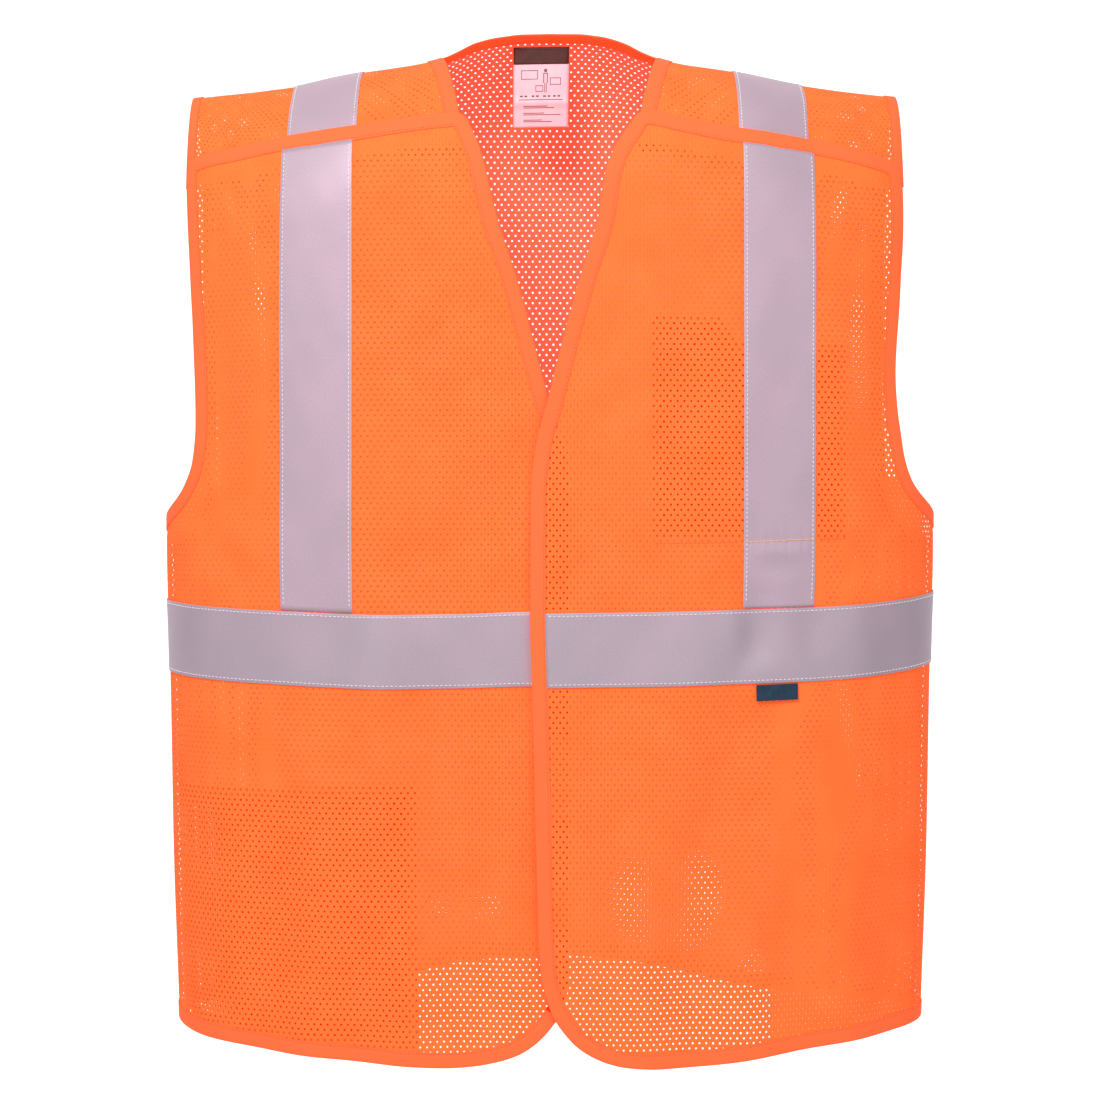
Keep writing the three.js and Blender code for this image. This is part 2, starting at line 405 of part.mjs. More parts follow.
const BP = PANEL_T / 2;
const flapEdge = (s, col) => { const o = []; for (let r = flapRows; r > 0; r--) o.push(flap[s].g[r * (NR + 1) + col]); return o; };
// neck binding: up one flap, round the back neck, down the other flap
const neckRun = [...flapEdge(-1, NR), ...bodyTop.slice(NR, nTop - NR + 1), ...flapEdge(1, 0).reverse()];
add(binding('back_neck_binding', onBack, stations(neckRun, 1), BP, -BP, [1.1, 1.1]));
for (const s of [-1, 1]) {
  const key = s < 0 ? 'right' : 'left';
  const arm = s < 0 ? armL : armR, under = s < 0 ? underL.slice().reverse() : underR, cz = under[under.length - 1][1];
  const run = [...flapEdge(s, s < 0 ? 0 : NR), ...arm, ...under.slice(1)];
  add(binding(`back_armhole_binding_${key}`, onBack, stations(run, s), BP, -BP, BACK_BIND_GAP));
  const v0 = cz + BIND_W + 1.6, v1 = bodyBottom[s < 0 ? 0 : nLow][1] - BIND_W - 1.8;
  add(binding(`back_side_binding_${key}`, onBack, stations(seq(7, t => [s * WRAP, v0 + (v1 - v0) * t]), s), BP, -BP, BACK_BIND_GAP));
}
add(binding('back_hem_binding', onBack, stations(bodyBottom, -1), BP, -BP, BACK_BIND_GAP));

// back tapes: two run from the waist tape over the shoulders on to the flaps, one goes round the waist
const BT = BP + 0.9, WAIST_BACK = -368;
for (const s of [-1, 1]) {
  const key = s < 0 ? 'right' : 'left';
  add(strip(`back_${key}_shoulder_tape`, onBack, (u, v) => {
    const b = (s > 0 ? 130.4 : 133.4) + u * TAPE_W, ve = flapV(b, FLAP_END[s](b)) + 0.8, vw = backV(b, WAIST_BACK + 0.8);
    const m = pchip([[0, ve], [0.45, 100], [0.6, 200], [1, vw]]);
    return [s * b, m(v)];
  }, 3, 26, BT, BT + TAPE_T, SILVER, 0.4, 0.2));
}
{
  const be = WRAP - BIND_W - 0.8, m = pchip([[0, -be], [0.2, -290], [0.34, -220], [0.5, 0], [0.66, 220], [0.8, 290], [1, be]]);
  add(strip('back_waist_tape', onBack, (u, v) => { const b = m(u); return [b, backV(Math.min(Math.abs(b), 319), WAIST_BACK - v * TAPE_W)]; },
    34, 2, BT, BT + TAPE_T, SILVER, 0.4, 0.2));
}

// ---------- neck label and hem tab ----------
function slab(name, origin, ux, uz, n, w, l, t, nu, nv, colour, rough) {
  const nd = [];
  for (let j = 0; j <= nv; j++) for (let i = 0; i <= nu; i++) {
    const p = origin.clone().addScaledVector(ux, (i / nu - 0.5) * w).addScaledVector(uz, -(j / nv) * l);
    nd.push({ p, n, h0: 0, h1: t });
  }
  return sheet(name, nd, gridTris(nu, nv, (i, j) => j * (nu + 1) + i), colour, rough);
}
{
  const top = back(-28, vOf(ridgeBack(28) - 34.4));
  add(slab('neck_label', new THREE.Vector3(-7, top.y - 2.6, 34.0), new THREE.Vector3(1, 0, 0), new THREE.Vector3(0, 0, 1), new THREE.Vector3(0, 1, 0), LABEL[0], LABEL[1], 0.4, 2, 4, 0xf6dfe8, 0.55));
  const a = 156, zt = pchip(FRONT.left.waist)(a) - TAPE_W - 0.7, f = onFront(a, zt), g2 = onFront(a + 5, pchip(FRONT.left.waist)(a + 5) - TAPE_W - 0.7);
  const ux = g2.p.clone().sub(f.p).normalize(), n = f.n.clone(), uz = n.clone().cross(ux).normalize();
  if (uz.z < 0) uz.negate();
  add(slab('hem_tab', f.p.clone().addScaledVector(n, HP + 1.0), ux, uz, n, TAB[0], TAB[1], 0.4, 2, 2, 0x22405c, 0.6));
}

const vest = new THREE.Group();
vest.name = 'high_visibility_vest';
for (const m of parts) vest.add(m);
export default vest;
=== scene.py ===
# High visibility mesh vest: the visual model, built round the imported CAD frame.
# Lengths in the code are millimetres until a mesh is made, then metres.
import math

import bpy
import numpy as np
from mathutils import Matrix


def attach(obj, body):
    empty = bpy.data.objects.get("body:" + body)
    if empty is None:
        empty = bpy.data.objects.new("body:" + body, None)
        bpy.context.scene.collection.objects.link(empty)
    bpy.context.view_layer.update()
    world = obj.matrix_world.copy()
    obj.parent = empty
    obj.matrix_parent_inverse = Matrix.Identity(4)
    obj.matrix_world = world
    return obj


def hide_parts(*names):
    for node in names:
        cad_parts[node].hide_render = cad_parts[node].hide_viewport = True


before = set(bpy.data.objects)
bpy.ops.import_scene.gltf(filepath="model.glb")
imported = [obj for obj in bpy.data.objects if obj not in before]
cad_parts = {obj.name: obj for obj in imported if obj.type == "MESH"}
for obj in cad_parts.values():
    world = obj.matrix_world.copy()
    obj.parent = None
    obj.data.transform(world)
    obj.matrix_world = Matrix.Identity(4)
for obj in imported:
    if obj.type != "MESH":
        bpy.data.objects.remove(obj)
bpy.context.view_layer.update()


rng = np.random.default_rng(7)

# ---------------------------------------------------------------- body form
HALF_WIDTH, HALF_DEPTH, POWER, DROP = 270.0, 110.0, 2.4, 110.0
TURN = DROP * math.pi / 2


class Pchip:
    def __init__(self, tab):
        self.x = np.array([t[0] for t in tab], float)
        self.y = np.array([t[1] for t in tab], float)
        n = len(self.x)
        h = np.diff(self.x)
        d = np.diff(self.y) / h
        m = np.zeros(n)
        m[0], m[-1] = d[0], d[-1]
        for i in range(1, n - 1):
            if d[i - 1] * d[i] > 0:
                a, b = 2 * h[i] + h[i - 1], h[i] + 2 * h[i - 1]
                m[i] = (a + b) / (a / d[i - 1] + b / d[i])
        self.h, self.m = h, m

    def __call__(self, v):
        v = np.clip(np.asarray(v, float), self.x[0], self.x[-1])
        i = np.clip(np.searchsorted(self.x, v, side="left") - 1, 0, len(self.h) - 1)
        t = (v - self.x[i]) / self.h[i]
        t2, t3 = t * t, t * t * t
        return ((2 * t3 - 3 * t2 + 1) * self.y[i] + (t3 - 2 * t2 + t) * self.h[i] * self.m[i]
                + (-2 * t3 + 3 * t2) * self.y[i + 1] + (t3 - t2) * self.h[i] * self.m[i + 1])


def smooth(e0, e1, x):
    t = np.clip((np.asarray(x, float) - e0) / (e1 - e0), 0, 1)
    return t * t * (3 - 2 * t)


_th = np.linspace(0, math.pi / 2, 3001)
SX = HALF_WIDTH * np.sin(_th) ** (2 / POWER)
SY = HALF_DEPTH * np.maximum(0, np.cos(_th)) ** (2 / POWER)
SG = np.concatenate([[0], np.cumsum(np.hypot(np.diff(SX), np.diff(SY)))])
QUARTER = SG[-1]


def section(a):
    a = np.asarray(a, float)
    sg = np.where(a < 0, -1.0, 1.0)
    g = np.abs(a)
    rear = g > QUARTER
    g = np.where(rear, 2 * QUARTER - g, g)
    return sg * np.interp(g, SG, SX), np.where(rear, 1.0, -1.0) * np.interp(g, SG, SY)


half_width = Pchip([[-800, 257], [-666, 261], [-553, 265], [-428, 267.3], [-330, 270], [-290, 270], [100, 270]])
ridge_front = Pchip([[0, 13], [60, 13], [79, 12.6], [100, 10.3], [137, 5.2], [187, -4.6], [257, -12], [300, -16]])
ridge_back = Pchip([[0, 55], [18, 53.4], [36, 48], [54, 38], [67, 27.5], [79, 18.5], [92, 13], [110, 9.2],
                    [137, 5.2], [187, -4.6], [257, -12], [300, -16]])


def front(a, z):
    x0, y0 = section(a)
    z = np.asarray(z, float) + 0 * x0
    drop = np.maximum(0, ridge_front(np.abs(x0)) - z)
    s = np.sqrt(np.clip(1 - (1 - np.minimum(drop, DROP) / DROP) ** 2, 0, 1))
    return np.stack([x0 * half_width(z) / HALF_WIDTH, y0 * s, z], -1)


def drop_of(v):
    return np.where(v < TURN, DROP * (1 - np.cos(np.minimum(v, TURN) / DROP)), DROP + v - TURN)


def v_of(drop):
    d = np.maximum(0, np.asarray(drop, float))
    return np.where(d >= DROP, TURN + d - DROP, DROP * np.arccos(np.clip(1 - d / DROP, -1, 1)))


def back(b, v):
    b = np.asarray(b, float)
    sg = np.where(b < 0, -1.0, 1.0)
    x0, y0 = section(sg * (2 * QUARTER - np.abs(b)))
    v = np.asarray(v, float) + 0 * x0
    av, ax = np.abs(v), np.abs(x0)
    w = smooth(-55, 35, v)
    z = ridge_front(ax) * (1 - w) + ridge_back(ax) * w - drop_of(av)
    s = np.where(av >= TURN, 1.0, np.sin(av / DROP)) * np.where(v < 0, -1.0, 1.0)
    return np.stack([x0 * half_width(z) / HALF_WIDTH, y0 * s, z], -1)


def back_v(b, z):
    x0, _ = section(2 * QUARTER - np.minimum(np.abs(b), 319))
    return v_of(ridge_back(np.abs(x0)) - z)


def flap_v(b, z):
    x0, _ = section(2 * QUARTER - np.abs(b))
    return -v_of(ridge_front(np.abs(x0)) - z)


# ---------------------------------------------------------------- folds of the worn cloth
# each fold: x1, z1, x2, z2, half width, height (mm), on the front of the vest
FRONT_FOLDS = [
    (-8, -262, -78, -352, 17, -2.6), (-40, -250, -104, -330, 22, 1.5),
    (-30, -300, -60, -372, 14, 0.9), (-150, -430, -168, -560, 15, 1.6),
    (-108, -372, -112, -470, 12, 1.5), (-60, -440, -66, -640, 20, -1.3), (-205, -400, -214, -600, 16, -1.6),
    (-232, -180, -222, -300, 13, -1.9), (-178, -120, -196, -240, 16, 1.4), (-250, -330, -246, -470, 12, 1.3),
    (36, -250, 62, -350, 20, 1.4), (72, -440, 60, -650, 22, 1.5), (120, -450, 132, -640, 18, -1.4),
    (142, -372, 138, -424, 9, -1.9), (176, -372, 178, -424, 9, -1.5), (122, -372, 126, -424, 8, 1.2),
    (208, -366, 212, -420, 11, 1.5), (176, -450, 190, -640, 17, 1.6), (226, -430, 232, -620, 14, -1.6),
    (238, -150, 226, -280, 14, -2.0), (200, -260, 224, -330, 14, 1.6), (186, -120, 204, -230, 16, 1.2),
    (96, -110, 84, -230, 20, -1.2), (-96, -105, -80, -220, 20, -1.2), (-30, -395, -24, -560, 9, 0.9),
    (232, -312, 206, -356, 9, -1.3), (-236, -318, -214, -360, 9, -1.2),
    (-152, -30, -182, -14, 7, -1.4), (150, -34, 182, -22, 8, 0.9), (-212, -26, -226, -50, 9, -1.3), (214, -34, 232, -56, 9, -1.2),
]
BACK_FOLDS = [
    (-40, 0, -70, -170, 24, 1.8), (42, 0, 76, -180, 24, 1.6), (0, -120, 6, -330, 30, -1.6),
    (-120, -430, -130, -640, 20, 2.0), (-60, -440, -52, -640, 20, -1.8), (10, -430, 4, -640, 20, 1.9),
    (74, -440, 66, -640, 20, -1.7), (134, -430, 142, -650, 20, 2.0), (-190, -430, -198, -650, 18, -1.7),
    (196, -430, 206, -650, 18, -1.7), (-226, -150, -214, -320, 16, -1.9), (224, -150, 214, -310, 16, -1.9),
    (-176, -100, -150, -330, 22, 1.6), (178, -100, 152, -330, 22, 1.6), (-232, -340, -196, -400, 12, 1.4), (234, -340, 200, -400, 12, 1.4),
]
_W = [(rng.uniform(55, 130), rng.uniform(320, 700), rng.uniform(0, 6.28), rng.uniform(0, 6.28)) for _ in range(10)]


def _ridges(x, z, table):
    out = np.zeros_like(x)
    for x1, z1, x2, z2, w, amp in table:
        dx, dz = x2 - x1, z2 - z1
        ll = dx * dx + dz * dz
        t = ((x - x1) * dx + (z - z1) * dz) / ll
        tc = np.clip(t, 0, 1)
        d2 = (x - x1 - tc * dx) ** 2 + (z - z1 - tc * dz) ** 2
        out += amp * np.exp(-d2 / (2 * w * w)) * (0.55 + 0.45 * np.sin(np.pi * np.clip(t, 0, 1)))
    return out


def fold(p):
    x, y, z = p[..., 0], p[..., 1], p[..., 2]
    wf = smooth(25, -35, y)
    f = wf * _ridges(x, z, FRONT_FOLDS) + (1 - wf) * _ridges(x, z, BACK_FOLDS)
    soft = np.zeros_like(x)
    for i, (lx, lz, p1, p2) in enumerate(_W):
        soft += np.sin(2 * np.pi * (x + 0.25 * y) / lx + p1 + 1.7 * np.sin(2 * np.pi * z / lz + p2) + (y > 0) * i)
    grow = 0.10 + 0.34 * smooth(-120, -660, z)
    side = smooth(262, 235, np.abs(x))
    flat = 1 - 0.96 * np.exp(-np.maximum(0, np.abs(x - 155) - 15) ** 2 / 200 - np.maximum(0, np.abs(z + 430) - 8) ** 2 / 160) * (y < 0)
    return flat * 1.45 * f * (0.35 + 0.65 * side) + flat * 1.3 * soft * grow * (0.3 + 0.7 * side) * smooth(0.0, 40.0, np.abs(y))


def place(kind, a, q, h):
    """Points of the worn cloth in metres: surface coordinates (a, q) and height h above the body form."""
    fn = front if kind == "front" else back
    a, q, h = np.broadcast_arrays(np.asarray(a, float), np.asarray(q, float), np.asarray(h, float))
    e = 0.8
    p = fn(a, q)
    n = np.cross(fn(a + e, q) - fn(a - e, q), fn(a, q + e) - fn(a, q - e))
    n /= np.linalg.norm(n, axis=-1, keepdims=True)
    return (p + n * (h + fold(p))[..., None]) * 0.001


# ---------------------------------------------------------------- mesh helpers
def link(ob):
    bpy.context.scene.collection.objects.link(ob)
    return ob


def make(name, verts, faces, mats, uvs=None, smoothed=True, mat_of=None):
    me = bpy.data.meshes.new(name)
    me.from_pydata(np.asarray(verts).tolist(), [], faces)
    if smoothed:
        me.polygons.foreach_set("use_smooth", np.ones(len(me.polygons), bool))
    if uvs:
        loops = np.empty(len(me.loops), np.int32)
        me.loops.foreach_get("vertex_index", loops)
        for key, uv in uvs.items():
            layer = me.uv_layers.new(name=key)
            layer.data.foreach_set("uv", np.asarray(uv, np.float32)[loops].ravel())
    for m in mats if isinstance(mats, (list, tuple)) else [mats]:
        me.materials.append(m)
    if mat_of is not None:
        me.polygons.foreach_set("material_index", np.asarray(mat_of, np.int32))
    me.validate()
    me.update()
    return link(bpy.data.objects.new(name, me))


def unit(uv):
    uv = np.asarray(uv, float)
    lo, hi = uv.min(0), uv.max(0)
    return 0.01 + 0.98 * (uv - lo) / max((hi - lo).max(), 1e-9)


def polyline(pts, n=None, step=2.6):
    """A smooth chain through pts, as the outlines are drawn, sampled evenly."""
    pts = np.asarray(pts, float)
    c = np.concatenate([[0], np.cumsum(np.hypot(*np.diff(pts, axis=0).T))])
    fx, fy = Pchip(list(zip(c, pts[:, 0]))), Pchip(list(zip(c, pts[:, 1])))
    n = n or max(2, int(math.ceil(c[-1] / step)))
    t = np.linspace(0, c[-1], n + 1)
    return np.stack([fx(t), fy(t)], -1)


def join(*chains):
    out = [chains[0]]
    for c in chains[1:]:
        out.append(c[1:] if np.hypot(*(c[0] - out[-1][-1])) < 0.5 else c)
    return np.concatenate(out)


def inside(poly, pts, margin):
    """Which points lie inside the outline by at least margin."""
    x, y = pts[:, 0], pts[:, 1]
    odd = np.zeros(len(pts), bool)
    far = np.full(len(pts), 1e9)
    q = np.roll(poly, -1, axis=0)
    for (x1, y1), (x2, y2) in zip(poly, q):
        if y1 != y2:
            hit = ((y1 > y) != (y2 > y)) & (x < (x2 - x1) * (y - y1) / (y2 - y1) + x1)
            odd ^= hit
        dx, dy = x2 - x1, y2 - y1
        ll = dx * dx + dy * dy
        if ll > 1e-9:
            t = np.clip(((x - x1) * dx + (y - y1) * dy) / ll, 0, 1)
            far = np.minimum(far, (x - x1 - t * dx) ** 2 + (y - y1 - t * dy) ** 2)
    return odd & (far > margin * margin)


def area_of(poly):
    x, y = poly[:, 0], poly[:, 1]
    return 0.5 * abs(np.dot(x, np.roll(y, -1)) - np.dot(y, np.roll(x, -1)))


# ---------------------------------------------------------------- knitted mesh with real holes
PX, PY = 4.67, 3.52                      # hole pitch along a course, and between courses
CENTRE_UP = (PX / 2, 0.986)              # the two places furthest from every hole of a lattice
CENTRE_DOWN = (0.0, PY - 0.986)
ANG = np.radians([28.2, 90, 151.8, 208.2, 270, 331.8])


def mesh_cloth(name, kind, poly, phase, height, mat, span, warp=None, margin=2.4, rows=None, r=(0.70, 0.78), size=None, tone=None):
    """One layer of mesh fabric. Courses run level, every second one shifted by half a pitch."""
    a0, a1, z0, z1 = span
    i0, i1 = int(a0 // PX) - 1, int(a1 // PX) + 2
    j0, j1 = int(-z1 // PY) - 1, int(-z0 // PY) + 2
    if rows:
        j0, j1 = max(j0, rows[0]), min(j1, rows[1])
    J, I = np.meshgrid(np.arange(j0, j1 + 1), np.arange(i0, i1 + 1), indexing="ij")
    ca = (I + 0.5 * (J & 1)) * PX + phase[0]
    cz = -J * PY + phase[1]
    c = np.stack([ca.ravel(), cz.ravel()], -1)
    test = np.stack(warp(c[:, 0], c[:, 1]), -1) if warp else c
    ok = inside(poly, test, margin).reshape(ca.shape)
    idx = -np.ones(ca.shape, int)
    idx[ok] = np.arange(ok.sum())
    cc = np.stack([ca[ok], cz[ok]], -1)
    vary = 1 + 0.05 * np.sin(cc[:, 0] * 0.9 + cc[:, 1] * 1.3) + 0.04 * np.sin(cc[:, 0] * 0.23 - cc[:, 1] * 0.41)
    if size is not None:
        at = np.stack(warp(cc[:, 0], cc[:, 1]), -1) if warp else cc
        vary = vary * size(at[:, 0], at[:, 1])
    off = np.stack([r[0] * np.cos(ANG), r[1] * np.sin(ANG)], -1)
    uv = (cc[:, None, :] + off[None] * vary[:, None, None]).reshape(-1, 2)
    pq = np.stack(warp(uv[:, 0], uv[:, 1]), -1) if warp else uv
    verts = place(kind, pq[:, 0], pq[:, 1], height(pq[:, 0], pq[:, 1]))
    H, Wd = idx.shape
    quads, tris = [], []
    flip = kind == "back"

    def add(store, cells):
        cells = np.stack(cells, -1)
        cells = cells[(cells >= 0).all(-1)]
        store.append(cells[:, ::-1] if flip else cells)

    def vx(k, corner):
        return np.where(k >= 0, k * 6 + corner, -1)

    for j in range(H):
        odd = (j0 + j) & 1
        h = idx[j]
        right = np.append(h[1:], -1)
        if not (rows and len(rows) > 2 and j0 + j == rows[2]):
            add(quads, [vx(h, 5), vx(right, 3), vx(right, 2), vx(h, 0)])
        if j > 0:                                    # the course above has index j - 1
            up = idx[j - 1]
            if odd:
                ul, ur = up, np.append(up[1:], -1)
            else:
                ul, ur = np.insert(up[:-1], 0, -1), up
            add(quads, [vx(h, 0), vx(ur, 4), vx(ur, 3), vx(h, 1)])
            add(quads, [vx(h, 1), vx(ul, 5), vx(ul, 4), vx(h, 2)])
            add(tris, [vx(h, 0), vx(right, 2), vx(ur, 4)])
            add(tris, [vx(h, 1), vx(ur, 3), vx(ul, 5)])
    # a quad needs all its holes; one built from a missing neighbour is dropped by the -1 test
    faces = [tuple(f) for f in np.concatenate(quads).tolist()] + [tuple(f) for f in np.concatenate(tris).tolist()]
    used = np.zeros(len(verts), bool)
    used[np.unique(np.concatenate([np.concatenate(quads).ravel(), np.concatenate(tris).ravel()]))] = True
    new = np.cumsum(used) - 1
    faces = [tuple(int(new[k]) for k in f) for f in faces]
    pick = None
    if tone is not None:
        mid = pq[used][[f[0] for f in faces]]
        pick = tone(mid[:, 0], mid[:, 1]).astype(np.int32)
    return make(name, verts[used], faces, mat, {"OFBake": unit(uv[used]), "knit": uv[used] / 10.0}, mat_of=pick)


# ---------------------------------------------------------------- thin solids: tapes, patches, labels
def ripple(s, seed, pitch=4.6):
    """Uneven puckers along a stitch line, s in mm."""
    return np.sin(2 * np.pi * s / pitch + 1.9 * np.sin(s * 0.071 + seed)) * (0.6 + 0.4 * np.sin(s * 0.19 + 2 * seed))


def tape(name, kind, param, nu, nv, h0, h1, mat, lift=None, bump=None, size=(50.6, 300.0), round_edges=True):
    """A thin closed strip; param(u, v) gives surface coordinates. size is its width and length in mm."""
    u, v = np.meshgrid(np.linspace(0, 1, nu + 1), np.linspace(0, 1, nv + 1))
    if round_edges:                                   # two close rows at each long edge
        lin = np.linspace(0, 1, nu - 1)
        uu = np.concatenate([[0.0, 0.25 / size[0]], lin[1:-1], [1 - 0.25 / size[0], 1.0]])
        u, v = np.meshgrid(uu, np.linspace(0, 1, nv + 1))
    a, q = param(u, v)
    a, q = a + 0 * u, q + 0 * u
    add = lift(a, q) if lift else 0 * a
    if bump is not None:
        add = add + bump(u, v)
    mid, half = (h0 + h1) / 2, (h1 - h0) / 2
    th = np.full_like(u, half)
    if round_edges:
        th[:, [0, -1]] *= 0.45
    top = place(kind, a, q, mid + th + add).reshape(-1, 3)
    bot = place(kind, a, q, mid - th + add).reshape(-1, 3)
    n = len(top)
    W, H = u.shape[1], u.shape[0]
    sa = np.sign(np.mean(np.diff(a, axis=1))) * np.sign(np.mean(np.diff(q, axis=0)))
    faces, verts = [], np.concatenate([top, bot])
    for j in range(H - 1):
        for i in range(W - 1):
            c = [j * W + i, j * W + i + 1, (j + 1) * W + i + 1, (j + 1) * W + i]
            faces.append(tuple(c) if sa > 0 else tuple(c[::-1]))
            d = [k + n for k in c]
            faces.append(tuple(d[::-1]) if sa > 0 else tuple(d))
    ring = [i for i in range(W)] + [j * W + W - 1 for j in range(1, H)] + [(H - 1) * W + i for i in range(W - 2, -1, -1)] + [j * W for j in range(H - 2, 0, -1)]
    for k in range(len(ring)):
        s, t = ring[k], ring[(k + 1) % len(ring)]
        f = (s, s + n, t + n, t)
        faces.append(f if sa > 0 else f[::-1])
    flat = np.stack([u * size[0], v * size[1]], -1).reshape(-1, 2)
    bake = np.concatenate([flat, flat + [size[0] * 1.05, 0]])
    return make(name, verts, faces, mat, {"OFBake": unit(bake), "knit": np.concatenate([flat, flat]) / 10.0})


def sweep(name, kind, path, side, centre, lift=None, mat=None, width=9.6, seed=1.0, wavy=0.35, tone=None):
    """A soft binding folded round the cloth edge. path runs along the edge; side says which way is into the cloth."""
    p = np.asarray(path, float)
    keep = np.concatenate([[True], np.hypot(*np.diff(p, axis=0).T) > 0.3])
    p = p[keep]
    s = np.concatenate([[0], np.cumsum(np.hypot(*np.diff(p, axis=0).T))])
    m = max(4, int(s[-1] / 2.7))
    t = np.linspace(0, s[-1], m + 1)
    p = np.stack([np.interp(t, s, p[:, 0]), np.interp(t, s, p[:, 1])], -1)
    d = np.gradient(p, axis=0)
    d /= np.linalg.norm(d, axis=1, keepdims=True) + 1e-12
    n = np.stack([-side * d[:, 1], side * d[:, 0]], -1)
    k = np.exp(-0.5 * (np.arange(-9, 10) * 2.7 / 6.5) ** 2)
    k /= k.sum()
    pad = np.concatenate([np.repeat(n[:1], 9, 0), n, np.repeat(n[-1:], 9, 0)])
    n = np.stack([np.convolve(pad[:, c], k, "valid") for c in (0, 1)], -1)
    n /= np.linalg.norm(n, axis=1, keepdims=True)
    prof = np.array([(9.6, .50), (9.45, .62), (8.8, .66), (8.3, .50), (7.8, .66), (5.4, .70), (2.8, .72), (0.8, .74), (-0.3, .62), (-0.85, .3),
                     (-1.0, 0.0), (-0.85, -.3), (-0.3, -.62), (0.8, -.74), (2.8, -.72), (5.4, -.70), (7.8, -.66), (8.3, -.50), (8.8, -.66),
                     (9.45, -.62), (9.6, -.50), (9.6, -.16), (5.0, -.16), (0.4, -.16), (0.4, .16), (5.0, .16), (9.6, .16)])
    w, h = prof[:, 0] * width / 9.6, prof[:, 1]
    K = len(prof)
    wave = wavy * np.sin(t / 31.0 + seed * 2.1) * np.sin(t / 77.0 + seed) + 0.10 * np.sin(t / 6.1 + seed)
    inner = np.clip(w / 9.6, 0, 1)
    ww = w[None] + wave[:, None] * inner[None] ** 2
    a = p[:, :1] + n[:, :1] * ww
    q = p[:, 1:] + n[:, 1:] * ww
    puck = ripple(t, seed, 5.2)[:, None] * 0.11 * smooth(0.45, 0.85, inner)[None]
    hh = centre + h[None] + puck * np.sign(h)[None]
    if lift:
        hh = hh + lift(a, q)
    v = place(kind, a, q, hh).reshape(-1, 3)
    faces = []
    fwd = (side > 0) == (kind == "front")
    # profile runs outer ply to inner ply, so its turn depends on the side and on the map
    for i in range(m):
        for j in range(K):
            f = (i * K + j, i * K + (j + 1) % K, (i + 1) * K + (j + 1) % K, (i + 1) * K + j)
            faces.append(f)
    caps = [tuple(range(K))[::-1], tuple(range(m * K, m * K + K))]
    faces += caps
    per = np.concatenate([[0], np.cumsum(np.hypot(np.diff(w), np.diff(h)))])
    flat = np.stack([np.repeat(t, K), np.tile(per, m + 1)], -1)
    # a bake layout wrapped into rows, so that a long run would keep its resolution, is worked out here but not given to
    # the piece
    rowlen, tall = 240.0, per[-1] + 4
    bake = np.stack([flat[:, 0] % rowlen, flat[:, 1] + tall * (flat[:, 0] // rowlen)], -1)
    pick = None
    if tone is not None:
        cell = np.repeat(tone(p[:-1, 0], p[:-1, 1]).astype(np.int32), K)
        pick = np.concatenate([cell, [0, 0]])
    ob = make(name, v, faces, mat, {"knit": flat / 10.0}, mat_of=pick)
    me = ob.data
    if volume(me) < 0:
        me.flip_normals()
    line = (p + n * 8.3, n, t)
    return ob, line


def volume(me):
    n = len(me.vertices)
    co = np.empty(n * 3)
    me.vertices.foreach_get("co", co)
    co = co.reshape(-1, 3)
    me.calc_loop_triangles()
    tr = np.empty(len(me.loop_triangles) * 3, np.int32)
    me.loop_triangles.foreach_get("vertices", tr)
    tr = tr.reshape(-1, 3)
    return float(np.einsum("ij,ij->i", co[tr[:, 0]], np.cross(co[tr[:, 1]], co[tr[:, 2]])).sum())


# ---------------------------------------------------------------- stitches
class Thread:
    """Collects lockstitches into one piece: each is a small plump bead of thread along its seam."""

    def __init__(self, name, mat, radius=0.30):
        self.name, self.mat, self.r, self.v, self.f = name, mat, radius, [], []

    def run(self, kind, a, q, h, pitch=3.1, length=2.25, lift=None, start=0.6):
        a, q = np.asarray(a, float), np.asarray(q, float)
        hh = h + (lift(a, q) if lift else 0) + 0 * a
        P = place(kind, a, q, hh) * 1000
        N = place(kind, a, q, hh + 1.0) * 1000 - P
        s = np.concatenate([[0], np.cumsum(np.linalg.norm(np.diff(P, axis=0), axis=1))])
        m = int((s[-1] - start) / pitch)
        for k in range(m):
            c = start + pitch * (k + 0.5)
            lo, hi = c - length / 2, c + length / 2
            if hi > s[-1]:
                break
            A = np.array([np.interp(x, s, P[:, i]) for x in (lo, c, hi) for i in range(3)]).reshape(3, 3)
            n = np.array([np.interp(c, s, N[:, i]) for i in range(3)])
            n /= np.linalg.norm(n)
            t = A[2] - A[0]
            t /= np.linalg.norm(t)
            b = np.cross(t, n)
            skew = b * (0.10 if k % 2 else -0.10) * self.r * 2
            base = len(self.v)
            rr = self.r
            self.v.append(A[0] - n * rr * 0.5)
            for c0, f in ((A[0] * 0.72 + A[1] * 0.28 - skew, 0.9), (A[2] * 0.72 + A[1] * 0.28 + skew, 0.9)):
                for w in range(5):
                    g = 2 * math.pi * w / 5
                    self.v.append(c0 + (b * math.cos(g) + n * math.sin(g) * 0.8) * rr * f + n * rr * 0.25)
            self.v.append(A[2] - n * rr * 0.5)
            e = base + 11
            for w in range(5):
                x, y = 1 + w, 1 + (w + 1) % 5
                self.f.append((base, base + y, base + x))
                self.f.append((base + x, base + y, base + 5 + y, base + 5 + x))
                self.f.append((e, base + 5 + x, base + 5 + y))

    def done(self, body, part_of):
        v = np.array(self.v) * 0.001
        ob = make(self.name, v, self.f, self.mat)
        if volume(ob.data) < 0:
            ob.data.flip_normals()
        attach(ob, body)
        part_of.append(ob)
        return ob


